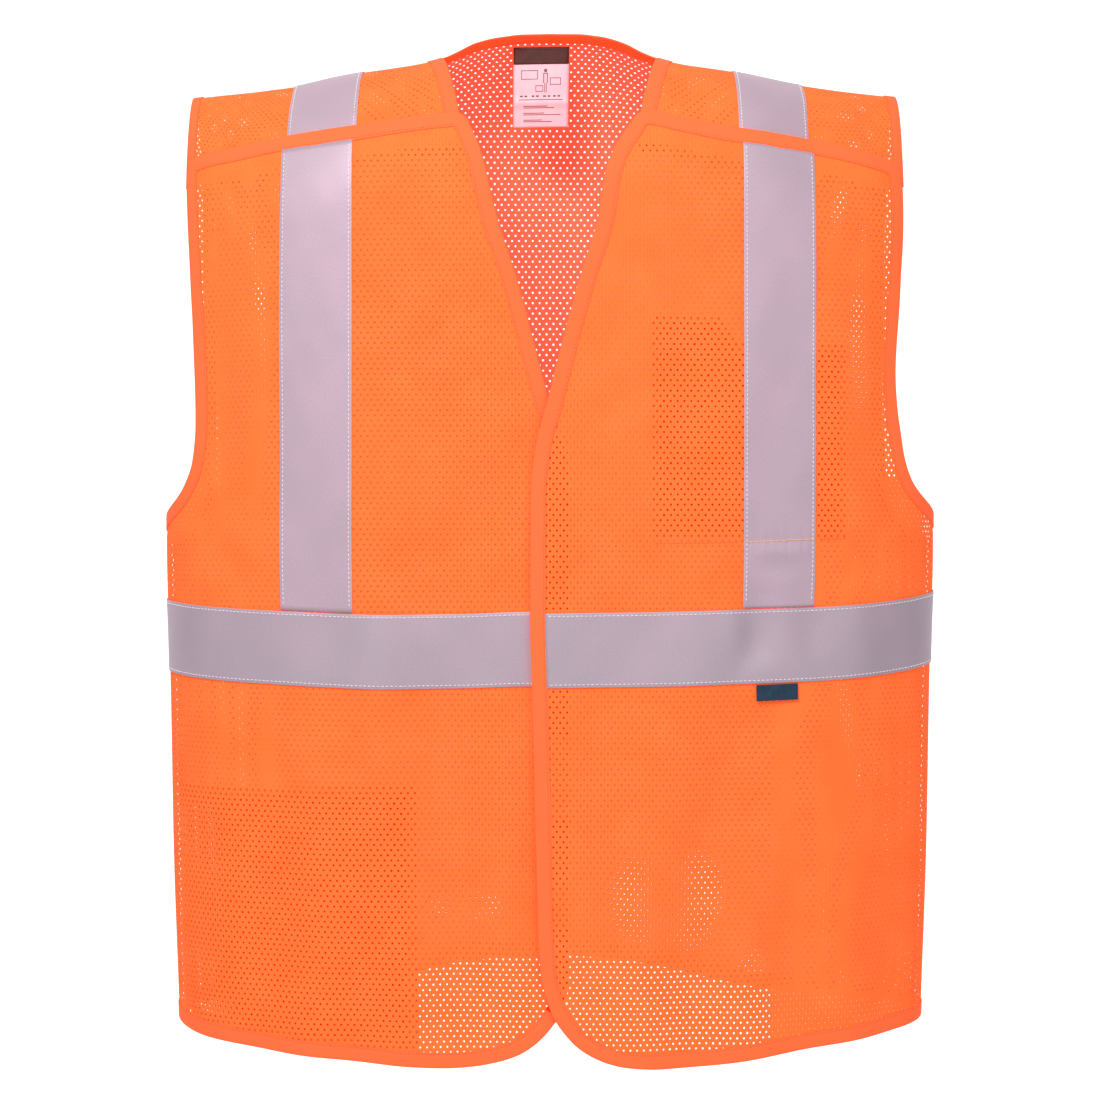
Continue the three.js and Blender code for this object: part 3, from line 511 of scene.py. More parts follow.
# ---------------------------------------------------------------- materials
def node_mat(name, base, rough=0.85, metal=0.0, sheen=0.0, glow=None, glow_strength=1.0, spec=0.3):
    m = bpy.data.materials.new(name)
    m.use_nodes = True
    nt = m.node_tree
    b = nt.nodes["Principled BSDF"]
    b.inputs["Base Color"].default_value = (*base, 1)
    b.inputs["Roughness"].default_value = rough
    b.inputs["Metallic"].default_value = metal
    b.inputs["Specular IOR Level"].default_value = spec
    if sheen:
        b.inputs["Sheen Weight"].default_value = sheen
        b.inputs["Sheen Roughness"].default_value = 0.5
    if glow:
        b.inputs["Emission Color"].default_value = (*glow, 1)
        b.inputs["Emission Strength"].default_value = glow_strength
    return m, nt, b


def N(nt, kind, **kw):
    n = nt.nodes.new(kind)
    for k, v in kw.items():
        if k.startswith("i_"):
            key = k[2:]
            n.inputs[int(key) if key.isdigit() else key.replace("_", " ")].default_value = v
        else:
            setattr(n, k, v)
    return n


def coords(nt, uv="knit"):
    return N(nt, "ShaderNodeUVMap", uv_map=uv).outputs[0]


def scaled(nt, src, s):
    m = N(nt, "ShaderNodeMapping")
    m.inputs["Scale"].default_value = s
    nt.links.new(src, m.inputs["Vector"])
    return m.outputs[0]


def ramp_mix(nt, fac, dark, light):
    r = N(nt, "ShaderNodeValToRGB")
    r.color_ramp.elements[0].color = (*dark, 1)
    r.color_ramp.elements[1].color = (*light, 1)
    nt.links.new(fac, r.inputs[0])
    return r


def bump(nt, bsdf, height, dist, strength):
    b = N(nt, "ShaderNodeBump")
    b.inputs["Strength"].default_value = strength
    b.inputs["Distance"].default_value = dist
    nt.links.new(height, b.inputs["Height"])
    nt.links.new(b.outputs[0], bsdf.inputs["Normal"])


def knit_material(name, dark, light, glow, glow_strength):
    """Warp knit: fine upright wales with zigzag loops between the holes, and a slightly uneven dye."""
    m, nt, b = node_mat(name, light, 0.9, glow=glow, glow_strength=glow_strength, spec=0.12)
    uv = coords(nt)
    wale = N(nt, "ShaderNodeTexWave", wave_type="BANDS", bands_direction="X", wave_profile="SIN")
    wale.inputs["Scale"].default_value = 2.69 / 2 * 0.32 * 3.1
    wale.inputs["Distortion"].default_value = 1.2
    wale.inputs["Detail"].default_value = 1.0
    wale.inputs["Detail Scale"].default_value = 6.0
    nt.links.new(uv, wale.inputs["Vector"])
    loops = N(nt, "ShaderNodeTexNoise")
    loops.inputs["Scale"].default_value = 14.0
    loops.inputs["Detail"].default_value = 2.0
    nt.links.new(scaled(nt, uv, (1.0, 2.2, 1.0)), loops.inputs["Vector"])
    dye = N(nt, "ShaderNodeTexNoise")
    dye.inputs["Scale"].default_value = 0.35
    dye.inputs["Detail"].default_value = 3.0
    nt.links.new(uv, dye.inputs["Vector"])
    add = N(nt, "ShaderNodeMath", operation="MULTIPLY_ADD")
    nt.links.new(loops.outputs["Fac"], add.inputs[0])
    add.inputs[1].default_value = 0.7
    nt.links.new(wale.outputs["Fac"], add.inputs[2])
    tone = N(nt, "ShaderNodeMath", operation="MULTIPLY_ADD")
    nt.links.new(dye.outputs["Fac"], tone.inputs[0])
    tone.inputs[1].default_value = 0.9
    tone2 = N(nt, "ShaderNodeMath", operation="MULTIPLY")
    nt.links.new(add.outputs[0], tone2.inputs[0])
    tone2.inputs[1].default_value = 0.22
    nt.links.new(tone2.outputs[0], tone.inputs[2])
    r = ramp_mix(nt, tone.outputs[0], dark, light)
    r.color_ramp.elements[0].position, r.color_ramp.elements[1].position = 0.35, 0.85
    nt.links.new(r.outputs[0], b.inputs["Base Color"])
    bump(nt, b, add.outputs[0], 0.0002, 0.35)
    return m


def binding_material(name, dark, light, glow, glow_strength):
    """Woven binding tape: fine ribs along its length."""
    m, nt, b = node_mat(name, light, 0.82, glow=glow, glow_strength=glow_strength, spec=0.18)
    uv = coords(nt)
    rib = N(nt, "ShaderNodeTexWave", wave_type="BANDS", bands_direction="Y", wave_profile="SIN")
    rib.inputs["Scale"].default_value = 3.6
    rib.inputs["Distortion"].default_value = 0.5
    nt.links.new(uv, rib.inputs["Vector"])
    cross = N(nt, "ShaderNodeTexNoise")
    cross.inputs["Scale"].default_value = 9.0
    cross.inputs["Detail"].default_value = 2.0
    nt.links.new(scaled(nt, uv, (1.0, 3.0, 1.0)), cross.inputs["Vector"])
    add = N(nt, "ShaderNodeMath", operation="MULTIPLY_ADD")
    nt.links.new(rib.outputs["Fac"], add.inputs[0])
    add.inputs[1].default_value = 0.35
    nt.links.new(cross.outputs["Fac"], add.inputs[2])
    r = ramp_mix(nt, add.outputs[0], dark, light)
    r.color_ramp.elements[0].position, r.color_ramp.elements[1].position = 0.3, 0.8
    nt.links.new(r.outputs[0], b.inputs["Base Color"])
    bump(nt, b, add.outputs[0], 0.00015, 0.3)
    return m


def tape_material(name, cool, warm):
    """Retroreflective fabric: tiny glass beads on a fine diagonal lattice, tone drifting from grey to lilac."""
    m, nt, b = node_mat(name, warm, 0.52, metal=0.25, spec=0.3)
    uv = coords(nt)
    beads = N(nt, "ShaderNodeTexVoronoi", feature="F1")
    beads.inputs["Scale"].default_value = 13.0
    nt.links.new(scaled(nt, uv, (1.0, 1.0, 1.0)), beads.inputs["Vector"])
    diag = N(nt, "ShaderNodeTexWave", wave_type="BANDS", bands_direction="DIAGONAL")
    diag.inputs["Scale"].default_value = 2.4
    diag.inputs["Distortion"].default_value = 0.6
    nt.links.new(uv, diag.inputs["Vector"])
    drift = N(nt, "ShaderNodeTexNoise")
    drift.inputs["Scale"].default_value = 0.16
    drift.inputs["Detail"].default_value = 2.0
    nt.links.new(uv, drift.inputs["Vector"])
    grain = N(nt, "ShaderNodeTexNoise")
    grain.inputs["Scale"].default_value = 11.0
    grain.inputs["Detail"].default_value = 3.0
    nt.links.new(uv, grain.inputs["Vector"])
    r = ramp_mix(nt, drift.outputs["Fac"], cool, warm)
    r.color_ramp.elements[0].position, r.color_ramp.elements[1].position = 0.38, 0.62
    g2 = ramp_mix(nt, grain.outputs["Fac"], (0.90, 0.90, 0.91), (1.08, 1.07, 1.08))
    g2.color_ramp.elements[0].position, g2.color_ramp.elements[1].position = 0.3, 0.7
    mul = N(nt, "ShaderNodeMix", data_type="RGBA", blend_type="MULTIPLY")
    mul.inputs["Factor"].default_value = 1.0
    nt.links.new(r.outputs[0], mul.inputs[6])
    nt.links.new(g2.outputs[0], mul.inputs[7])
    nt.links.new(mul.outputs[2], b.inputs["Base Color"])
    add = N(nt, "ShaderNodeMath", operation="MULTIPLY_ADD")
    nt.links.new(diag.outputs["Fac"], add.inputs[0])
    add.inputs[1].default_value = 0.5
    nt.links.new(beads.outputs["Distance"], add.inputs[2])
    rr = N(nt, "ShaderNodeMath", operation="MULTIPLY_ADD")
    nt.links.new(grain.outputs["Fac"], rr.inputs[0])
    rr.inputs[1].default_value = 0.22
    rr.inputs[2].default_value = 0.42
    nt.links.new(rr.outputs[0], b.inputs["Roughness"])
    bump(nt, b, add.outputs[0], 0.0001, 0.25)
    return m


def pile_material(name, dark, light, glow, glow_strength, scale, dist):
    """Hook or loop tape: a dense field of tiny hooks or brushed pile."""
    m, nt, b = node_mat(name, light, 0.95, sheen=0.4, glow=glow, glow_strength=glow_strength, spec=0.15)
    uv = coords(nt)
    v = N(nt, "ShaderNodeTexVoronoi", feature="F1")
    v.inputs["Scale"].default_value = scale
    nt.links.new(uv, v.inputs["Vector"])
    n = N(nt, "ShaderNodeTexNoise")
    n.inputs["Scale"].default_value = scale * 1.7
    n.inputs["Detail"].default_value = 3.0
    nt.links.new(uv, n.inputs["Vector"])
    add = N(nt, "ShaderNodeMath", operation="ADD")
    nt.links.new(v.outputs["Distance"], add.inputs[0])
    nt.links.new(n.outputs["Fac"], add.inputs[1])
    r = ramp_mix(nt, add.outputs[0], light, dark)
    r.color_ramp.elements[0].position, r.color_ramp.elements[1].position = 0.3, 1.1
    nt.links.new(r.outputs[0], b.inputs["Base Color"])
    bump(nt, b, add.outputs[0], dist, 0.6)
    return m


def thread_material(name, col, glow=None, glow_strength=0.0):
    m, nt, b = node_mat(name, col, 0.6, sheen=0.2, glow=glow, glow_strength=glow_strength, spec=0.35)
    tc = N(nt, "ShaderNodeTexCoord")
    tw = N(nt, "ShaderNodeTexNoise")
    tw.inputs["Scale"].default_value = 1800.0
    nt.links.new(tc.outputs["Object"], tw.inputs["Vector"])
    r = ramp_mix(nt, tw.outputs["Fac"], tuple(c * 0.82 for c in col), tuple(min(1, c * 1.06) for c in col))
    nt.links.new(r.outputs[0], b.inputs["Base Color"])
    bump(nt, b, tw.outputs["Fac"], 0.0001, 0.3)
    return m


def satin_material(name, dark, light, scale=22.0, rough=0.5, spec=0.35):
    """Woven label stock: fine crossed threads."""
    m, nt, b = node_mat(name, light, rough, spec=spec)
    uv = coords(nt)
    w1 = N(nt, "ShaderNodeTexWave", wave_type="BANDS", bands_direction="X")
    w1.inputs["Scale"].default_value = scale / 6
    w2 = N(nt, "ShaderNodeTexWave", wave_type="BANDS", bands_direction="Y")
    w2.inputs["Scale"].default_value = scale / 6
    for w in (w1, w2):
        w.inputs["Distortion"].default_value = 0.3
        nt.links.new(uv, w.inputs["Vector"])
    n = N(nt, "ShaderNodeTexNoise")
    n.inputs["Scale"].default_value = 1.2
    n.inputs["Detail"].default_value = 3.0
    nt.links.new(uv, n.inputs["Vector"])
    a = N(nt, "ShaderNodeMath", operation="MULTIPLY")
    nt.links.new(w1.outputs["Fac"], a.inputs[0])
    nt.links.new(w2.outputs["Fac"], a.inputs[1])
    s = N(nt, "ShaderNodeMath", operation="MULTIPLY_ADD")
    nt.links.new(a.outputs[0], s.inputs[0])
    s.inputs[1].default_value = 0.35
    nt.links.new(n.outputs["Fac"], s.inputs[2])
    r = ramp_mix(nt, s.outputs[0], dark, light)
    r.color_ramp.elements[0].position, r.color_ramp.elements[1].position = 0.3, 0.8
    nt.links.new(r.outputs[0], b.inputs["Base Color"])
    bump(nt, b, a.outputs[0], 0.00008, 0.3)
    return m


GLOW = (1.0, 0.055, 0.012)               # painted glow: a constant emission, lit or not, standing in for the dye's fluorescence and for light in the shaded insides
M_MESH = knit_material("mesh_orange", (0.93, 0.185, 0.038), (0.97, 0.222, 0.052), GLOW, 0.40)
# painted light: the back cloth is made pinker and given more glow than the fronts, standing in for the white light that
# shines through it from behind
M_BACK_PAINTED_LIGHT = knit_material("mesh_orange_back_painted_light", (0.92, 0.185, 0.088), (0.95, 0.225, 0.115), (1.0, 0.120, 0.075), 0.43)
# painted shade: darker, redder copies of the mesh and the binding, for layers that lie in shade behind another layer
# and are seen only through its holes
M_MESH_PAINTED_SHADE = knit_material("mesh_orange_painted_shade", (0.52, 0.016, 0.002), (0.60, 0.024, 0.003), (1.0, 0.022, 0.003), 0.34)
M_BIND = binding_material("binding_orange", (0.93, 0.145, 0.040), (0.96, 0.195, 0.064), GLOW, 0.40)
M_BIND_PAINTED_SHADE = binding_material("binding_orange_painted_shade", (0.52, 0.016, 0.002), (0.60, 0.024, 0.004), (1.0, 0.022, 0.003), 0.32)
M_TAPE = tape_material("reflective_tape", (0.600, 0.450, 0.530), (0.655, 0.468, 0.562))
M_BAND = tape_material("reflective_band", (0.545, 0.435, 0.510), (0.590, 0.448, 0.532))
M_HOOK = pile_material("hook_orange", (0.70, 0.10, 0.02), (0.94, 0.165, 0.040), GLOW, 0.38, 9.0, 0.0003)
M_LOOP = pile_material("loop_orange", (0.80, 0.12, 0.03), (0.96, 0.19, 0.050), GLOW, 0.38, 16.0, 0.0002)
# painted glow: the white and pale threads also carry a constant emission of their own
M_WHITE = thread_material("thread_white", (0.93, 0.88, 0.91), (1.0, 0.95, 0.97), 0.10)
M_THREAD = thread_material("thread_orange", (0.90, 0.120, 0.040), GLOW, 0.34)
M_PALE = thread_material("thread_pale_orange", (1.0, 0.56, 0.30), (1.0, 0.40, 0.20), 0.18)
M_LABEL = satin_material("label_satin", (0.88, 0.66, 0.77), (0.96, 0.76, 0.87), rough=0.42)
M_HEADER = satin_material("label_header", (0.040, 0.012, 0.010), (0.085, 0.024, 0.018), rough=0.6)
M_RULE = satin_material("label_rule", (0.16, 0.11, 0.13), (0.22, 0.16, 0.18), rough=0.5)
M_TAB = satin_material("tab_navy", (0.006, 0.022, 0.045), (0.018, 0.060, 0.105), rough=0.62)

# ---------------------------------------------------------------- outlines, as in the CAD part
FRONT_LIFT, TUCK, PANEL_T = 4.4, -1.2, 0.8
MID = FRONT_LIFT + PANEL_T / 2
BIND_W, TAPE_W, EDGE, WRAP = 9.6, 50.6, 322.9, 2 * QUARTER - 288
OUT = {
    "left": dict(
        sg=1,
        top=[[56.5, -47], [60, -42], [66, -39.8], [95.6, -45.2], [133.5, -51.2], [187.2, -57.3], [217.7, -62.5], [240, -66.5], [247.5, -70.5], [251, -77]],
        outer=[[251, -77], [252.2, -90.5], [250.3, -159.4], [247, -214.6], [248.6, -240], [250.8, -254], [254, -272.2], [261.3, -288.7], [272.2, -298.5],
               [290, -306.5], [307, -311], [EDGE, -313]],
        bottom=[[10.6, -664], [17.8, -671.8], [28.3, -679], [40.2, -684], [50.7, -686.4], [63.3, -687.7], [77.3, -688.4], [97, -687.8], [157.7, -681],
                [222, -674], [257.9, -670.2], [290, -668], [EDGE, -667]],
        inner=[[56.5, -47], [45, -64], [38.2, -82.2], [33.4, -111.5], [21.3, -152.2], [7.1, -203.6], [-1, -236.8], [-8.6, -265.9], [-12, -296.4],
               [-12.6, -379.7], [-11.3, -431.8], [-9.2, -519.8], [-8.2, -560.4], [-7.2, -595], [-6.4, -611.9], [-5, -627.8], [-2.4, -638.3],
               [0.8, -647.8], [4.3, -655.2], [10.6, -664]],
        tape=131.6, waist=[[-20, -380.2], [66, -379.2], [139.5, -377.4], [187.4, -376.0], [229, -373.3], [258, -370.6], [284, -367.5], [325, -364.5]]),
    "right": dict(
        sg=-1,
        top=[[54.5, -51], [57.5, -44.5], [64, -40.8], [94.3, -43.2], [130.9, -48.5], [183, -54], [225.1, -59.8], [252, -62.8], [260.5, -66], [263.8, -74]],
        outer=[[263.8, -74], [262, -96.6], [258.8, -140.7], [256.2, -196], [254.2, -250.5], [257, -275], [265.9, -292.2], [276.5, -301.5], [292, -308.5],
               [308, -313], [EDGE, -315]],
        bottom=[[-4.3, -655.9], [4.6, -666.5], [13.7, -674.2], [24, -680], [41.8, -685.4], [55, -687.6], [69.3, -688.5], [97, -687.4], [152.6, -683.4],
                [211.5, -678.6], [259.1, -674.6], [290, -670.6], [EDGE, -667]],
        inner=[[54.5, -51], [48, -66], [41, -93.4], [36.3, -112.4], [22.7, -155.1], [8.5, -208.8], [1.4, -235.2], [-7.1, -262.4], [-11.6, -289.5],
               [-12.6, -343.8], [-12.8, -540], [-12.6, -600], [-12.2, -620], [-11.2, -635.6], [-8.7, -647.8], [-4.3, -655.9]],
        tape=134.6, waist=[[-20, -379.2], [12.9, -379.0], [58, -380.4], [111.9, -381.1], [138.9, -380.6], [185.2, -378.8], [225.9, -377], [262, -374.6],
                           [286.3, -372.8], [325, -370.5]]),
}


def tuck(a, z):
    """How far the lower front panel drops behind the upper one near the centre."""
    g = np.where(a < 0, -a, 0.0)
    return (TUCK - FRONT_LIFT) * (1 - smooth(58, 140, g)) * smooth(-110, -225, z)


LIFT = {"left": lambda a, z: 0 * a, "right": tuck}
inner_edge = {k: Pchip([(z, a) for a, z in reversed(OUT[k]["inner"])]) for k in OUT}
hem_height = {k: Pchip(OUT[k]["bottom"]) for k in OUT}
parts = {"front_left": [], "front_right": [], "back": [], "neck_label": [], "hem_tab": []}


def keep(ob, body, slot, *nodes):
    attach(ob, body)
    if nodes:
        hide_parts(*nodes)
    parts[body].append(ob)
    return ob


# ---------------------------------------------------------------- the back's outline and lattice
NECK = [[79, 0], [74, 9], [67, 19], [57, 29], [44, 38], [30, 44.5], [15, 48.3], [0, 49.6]]
ARM = {1: [258.5, 259, 258.4, 257.5, 257, 259], -1: [271, 270.5, 270, 269.5, 269, 270]}
UNDER = {1: [[263, -296], [268, -306], [277, -315.5], [288, -321.5], [300, -325], [313, -327], [326, -328.2], [339, -329], [WRAP, -329.5]],
         -1: [[272.5, -296], [276, -306], [282, -314.5], [291, -320.8], [302, -324.6], [314, -326.8], [327, -328.2], [339, -329], [WRAP, -329.5]]}
FLAP_END = {1: Pchip([[55, -63], [130, -68.2], [188, -74.6], [230, -79], [262, -83]]),
            -1: Pchip([[55, -64.5], [61, -64.6], [133.6, -68], [173, -72], [240, -79], [275, -83]])}
hem_z = Pchip([[0, -645], [60, -648.5], [120, -660], [170, -668], [230, -670], [300, -667], [352, -664]])


def bz(b, z):
    return [b, float(back_v(min(abs(b), 319), z))]


def flap(s, inward, t):
    b0 = ARM[s][0] + (79 - ARM[s][0]) * inward
    b = s * (abs(b0) - 21 * t ** 1.15 * inward)
    return [b, float(flap_v(b, FLAP_END[s](abs(b)))) * t]


T = np.linspace(0, 1, 37)
neck = polyline(NECK)
neck_all = join(np.array([[-b, v] for b, v in neck]), neck[::-1])
neck_run = join(np.array([flap(-1, 1, t) for t in T[::-1]]), neck_all, np.array([flap(1, 1, t) for t in T]))
arm_run, arm_cut = {}, {}
for s in (-1, 1):
    arm = polyline([[s * ARM[s][0], 0], *[bz(s * ARM[s][i + 1], z) for i, z in enumerate([-60, -120, -180, -225, -270])], bz(s * UNDER[s][0][0], UNDER[s][0][1])])
    under = polyline([bz(s * b, z) for b, z in UNDER[s]])
    arm_run[s] = join(np.array([flap(s, 0, t) for t in T[::-1]]), arm, under)
bs = np.linspace(-WRAP, WRAP, 180)
hem_run = np.array([bz(b, float(hem_z(abs(b)))) for b in bs])
back_poly = np.concatenate([
    np.array([flap(-1, f, 1) for f in T]), neck_run, np.array([flap(1, f, 1) for f in T[::-1]]), arm_run[1], hem_run[::-1], arm_run[-1][::-1]])


# The back's holes are laid so that few line up with the fronts' holes when the vest is seen from straight ahead.
def _relate():
    g = np.linspace(0, 168, 15)
    xf, yf = section(g)
    yf = -yf + MID
    b = g.copy()
    for _ in range(40):
        _, yb = section(2 * QUARTER - b)
        k = (1884 + yb) / (1884 - yf)
        b = np.interp(np.minimum(xf * k, SX[-1]), SX, SG)
    _, yb = section(2 * QUARTER - b)
    k = (1884 + yb) / (1884 - yf)
    return Pchip([*zip(g, b), (335, 335), (420, 420)]), Pchip([*zip(g, k), (335, 1.0), (420, 1.0)])


B_OF, K_OF = _relate()
GLINTS = [(-190, -508, 20, 9), (-60, -577, 24, 10), (84, -573, 40, 40), (236, -494, 8, 14)]


def back_warp(a, zf):
    g = np.zeros_like(a)
    for ax, az, sx, sz in GLINTS:
        g = np.maximum(g, np.minimum(1, 1.5 * np.exp(-(((a - ax) / sx) ** 2 + ((zf - az) / sz) ** 2) * 0.9)))
    ds = np.where(a < 0, CENTRE_UP[1], 0.0) - CENTRE_DOWN[1]
    a = a + np.where(a < 0, CENTRE_UP[0], 0.0) * g
    zf = zf + ds * g
    s = np.sign(a)
    b = B_OF(np.abs(a))
    k = K_OF(np.abs(a))
    zb = -337 + (zf + 337) * k
    x0, _ = section(2 * QUARTER - b)
    return s * b, TURN - DROP + ridge_back(np.abs(x0)) - zb

def behind(P):
    """Where the line from the camera through P (mm) meets the back cloth: (b, v) on the back."""
    tx, tz = P[:, 0] / (P[:, 1] + 1884), (P[:, 2] + 337) / (P[:, 1] + 1884)
    sg = np.where(tx < 0, -1.0, 1.0)
    b, z = np.clip(np.abs(P[:, 0]) * 1.06, 1, 340), P[:, 2].copy()
    for _ in range(14):
        v = back_v(np.minimum(b, 340), z)
        S = place("back", sg * b, v, 0 * b) * 1000
        b = np.clip(b + 0.8 * (np.abs(tx) * (S[:, 1] + 1884) - np.abs(S[:, 0])), 0.5, 345)
        z = -337 + tz * (S[:, 1] + 1884)
    return sg * b, back_v(b, z)


def gap_to_hole(P):
    """Distance, in the back's own lattice, from that sight line to the nearest hole. Far where no back cloth is behind."""
    b, v = behind(P)
    g = np.interp(np.abs(b), B_OF(GRID_A), GRID_A)
    x0, _ = section(2 * QUARTER - np.abs(b))
    zb = TURN - DROP + ridge_back(np.abs(x0)) - v
    zf = -337 + (zb + 337) / K_OF(g)
    a = np.sign(b) * g
    best = np.full(len(a), 99.0)
    for dj in (-1, 0, 1):
        j = np.round(-(zf - CENTRE_DOWN[1]) / PY) + dj
        hz = -j * PY + CENTRE_DOWN[1]
        off = 0.5 * (j.astype(int) & 1) * PX + CENTRE_DOWN[0]
        ha = np.round((a - off) / PX) * PX + off
        best = np.minimum(best, np.hypot(a - ha, zf - hz))
    out = ~inside(back_poly, np.stack([b, v], -1), 4.0)
    low = (P[out, 2] < -325) | (P[out, 2] < -286) & (np.abs(P[out, 0]) > 212)
    best[out] = np.where(low, -1.0, 99.0)
    return best


CH = np.array([[68.6, -330.4], [204.8, -330.4], [204.8, -196.4], [130, -196.2], [114.5, -176.2], [68.6, -176.2]])
LP_ZONE = np.array([[-277.4, -501.8], [-92.6, -497.0], [-92.6, -690], [-277.4, -690]])
OPEN_PATCHES = [                              # where daylight shows through both layers, in picture pixels
    (209, 198, 222, 234), (246, 216, 274, 252), (238, 284, 276, 312), (199, 286, 216, 440), (818, 188, 882, 242), (838, 298, 902, 424),
    (853, 513, 877, 562), (922, 515, 932, 562), (203, 116, 256, 137), (838, 98, 868, 118), (838, 133, 872, 152)]


def hole_size(P, least=0.32):
    px = 549.5 + P[:, 0] / 0.721 * 1884 / (1884 + P[:, 1])
    py = 550 - (P[:, 2] + 337) / 0.721 * 1884 / (1884 + P[:, 1])
    free = np.zeros(len(P))
    for x0, y0, x1, y1 in OPEN_PATCHES:
        ex = smooth(x0 - 3, x0 + 3, px) * smooth(x1 + 3, x1 - 3, px)
        ey = smooth(y0 - 6, y0 + 6, py) * smooth(y1 + 6, y1 - 6, py)
        free = np.maximum(free, ex * ey)
    gap = gap_to_hole(P)
    k = np.where(gap < 0, 0.24, least + (1 - least) * smooth(1.0, 1.9, gap))
    return k + (1 - k) * free


GRID_A = np.linspace(0, 352, 353)

# ---------------------------------------------------------------- fronts
cloths = {}
for key, phase in (("left", (0.0, 0.0)), ("right", CENTRE_UP)):
    F, sg, lift, body = OUT[key], OUT[key]["sg"], LIFT[key], "front_" + key
    mir = lambda pts: np.array([[sg * a, z] for a, z in pts])
    top, outer, bottom, inner = (polyline(mir(F[k])) for k in ("top", "outer", "bottom", "inner"))
    side = np.array([[sg * EDGE, z] for z in np.linspace(F["outer"][-1][1], -667, 60)])
    poly = join(top, outer, side, bottom[::-1], inner[::-1])
    amin, amax = poly[:, 0].min(), poly[:, 0].max()
    top_line = Pchip(F["top"])

    def size(a, z, lift=lift, top_line=top_line, sg=sg):
        P = place("front", a, z, MID + lift(a, z)) * 1000
        k = np.where(np.abs(P[:, 0]) > 150, hole_size(P), 1.0)
        sewn = inside(CH, np.stack([a, z], -1), 0.0) | inside(LP_ZONE, np.stack([a, z], -1), 0.0)
        strip = (sg > 0) & (np.abs(a) < 12.2) & (z < -258)
        slack = 0.94 + 0.09 * np.sin(a / 37 + 1.3) * np.sin(z / 29 + a / 61 + 0.6)
        k = np.where(sewn | strip, 1.10, slack * k)
        band = top_line(np.clip(sg * a, F["top"][2][0], F["top"][-2][0])) - BIND_W - 11.5
        return k * (1 - 0.62 * smooth(-1.5, 0.5, z - band))

    # painted shade: the strip that lies under the other front takes the painted-shade mesh, as do the pockets, because
    # light only reaches it through the holes
    def under(a, z, sg=sg):
        return (sg < 0) & (a > -9) & (a > inner_edge["left"](np.clip(z, -664, -47)) + 1.2) & (z < -262)

    cloth = mesh_cloth(f"{body}_cloth", "front", poly, phase, lambda a, z: MID + lift(a, z), [M_MESH, M_MESH_PAINTED_SHADE], (amin, amax, -692, -36), size=size, tone=under)
    keep(cloth, body, "mesh_fabric", f"{body}_panel")
    cloths[key] = (cloth, area_of(poly) * 1e-6, (amax - amin) * 1e-3, 0.653)

    # edge binding in one run, side binding between its ends
    edge = join(outer[::-1], top[::-1], inner, bottom)
    # painted shade: where the right front's binding lies under the left front, it takes the painted-shade binding
    painted_shade_binding = (lambda a, z: (np.abs(a) < 20) & (a > inner_edge["left"](np.clip(z, -664, -47)) + 1.2) & (z < -262) & (z > -652)) if sg < 0 else None
    ob, line = sweep(f"{body}_edge_fold", "front", edge, sg, MID, lift, [M_BIND, M_BIND_PAINTED_SHADE], seed=1.3 if sg > 0 else 2.9, tone=painted_shade_binding)
    keep(ob, body, "binding", f"{body}_edge_binding")
    th = Thread(f"{body}_binding_stitches", M_THREAD, 0.24)
    L, nrm, _ = line
    th.run("front", L[:, 0], L[:, 1], MID + 0.55, pitch=2.9, length=2.1, lift=lift)
    z0, z1 = F["outer"][-1][1] - BIND_W - 0.6, -667 + BIND_W + 0.6
    ob, line = sweep(f"{body}_side_fold", "front", [[sg * EDGE, z] for z in np.linspace(z0, z1, 120)], -sg, MID, None, M_BIND, seed=4.1, wavy=0.2)
    keep(ob, body, "binding", f"{body}_side_binding")
    L = line[0]
    th.run("front", L[:, 0], L[:, 1], MID + 0.55, pitch=2.9, length=2.1)
    th.done(body, parts[body])

    # tapes
    T0, T1 = MID + 0.28, MID + 0.68
    waist, top_z = Pchip(F["waist"]), Pchip(F["top"][2:8])
    white = Thread(f"{body}_tape_stitches", M_WHITE, 0.36)

    def up(u, v, F=F, sg=sg, waist=waist, top_z=top_z):
        a = F["tape"] + u * TAPE_W
        zt, zb = top_z(a) - BIND_W + 0.6, waist(a) + 0.6
        return sg * a, zt + (zb - zt) * v

    pocket_z = -331.0

    def up_bump(u, v, up=up, key=key):
        d = np.minimum(u, 1 - u) * TAPE_W
        s = v * 330
        out = 0.13 * ripple(s, 1.0 + (key == "left"), 5.0) * np.exp(-((d - 2.0) / 2.6) ** 2) + 0.10 * np.sin(u * 9.0 + v * 5) * np.sin(v * 31 + u * 3)
        if key == "left":
            _, z = up(u, v)
            dz = z - pocket_z
            pk = np.sin(2 * np.pi * (u * TAPE_W) / 4.3 + 1.6 * np.sin(u * 11)) * (0.6 + 0.4 * np.sin(u * 23 + 1))
            out = out + 0.80 * pk * np.exp(-np.abs(dz) / 7.0) * (1 - np.exp(-np.abs(dz) / 1.2)) - 0.30 * np.exp(-(dz / 1.5) ** 2)
            out = out + 0.9 * np.exp(-((dz + 7) / 4.5) ** 2) * np.sin(np.pi * u) - 0.5 * np.exp(-((dz + 19) / 6) ** 2) * np.sin(np.pi * u)
        return out

    ob = tape(f"{body}_upright_tape", "front", up, 26 if key == "left" else 18, 130 if key == "left" else 84, T0, T1, M_TAPE, None, up_bump, (TAPE_W, 325))
    keep(ob, body, "reflective_tape", f"{body}_shoulder_tape")
    for u in (2.1 / TAPE_W, 1 - 2.1 / TAPE_W):
        vv = np.linspace(0.006, 0.994, 200)
        a, z = up(np.full_like(vv, u), vv)
        white.run("front", a, z, T1 + 0.10 + 0.13 * ripple(vv * 330, 1.0 + (key == "left"), 5.0))

    a_out = EDGE - BIND_W + 0.4

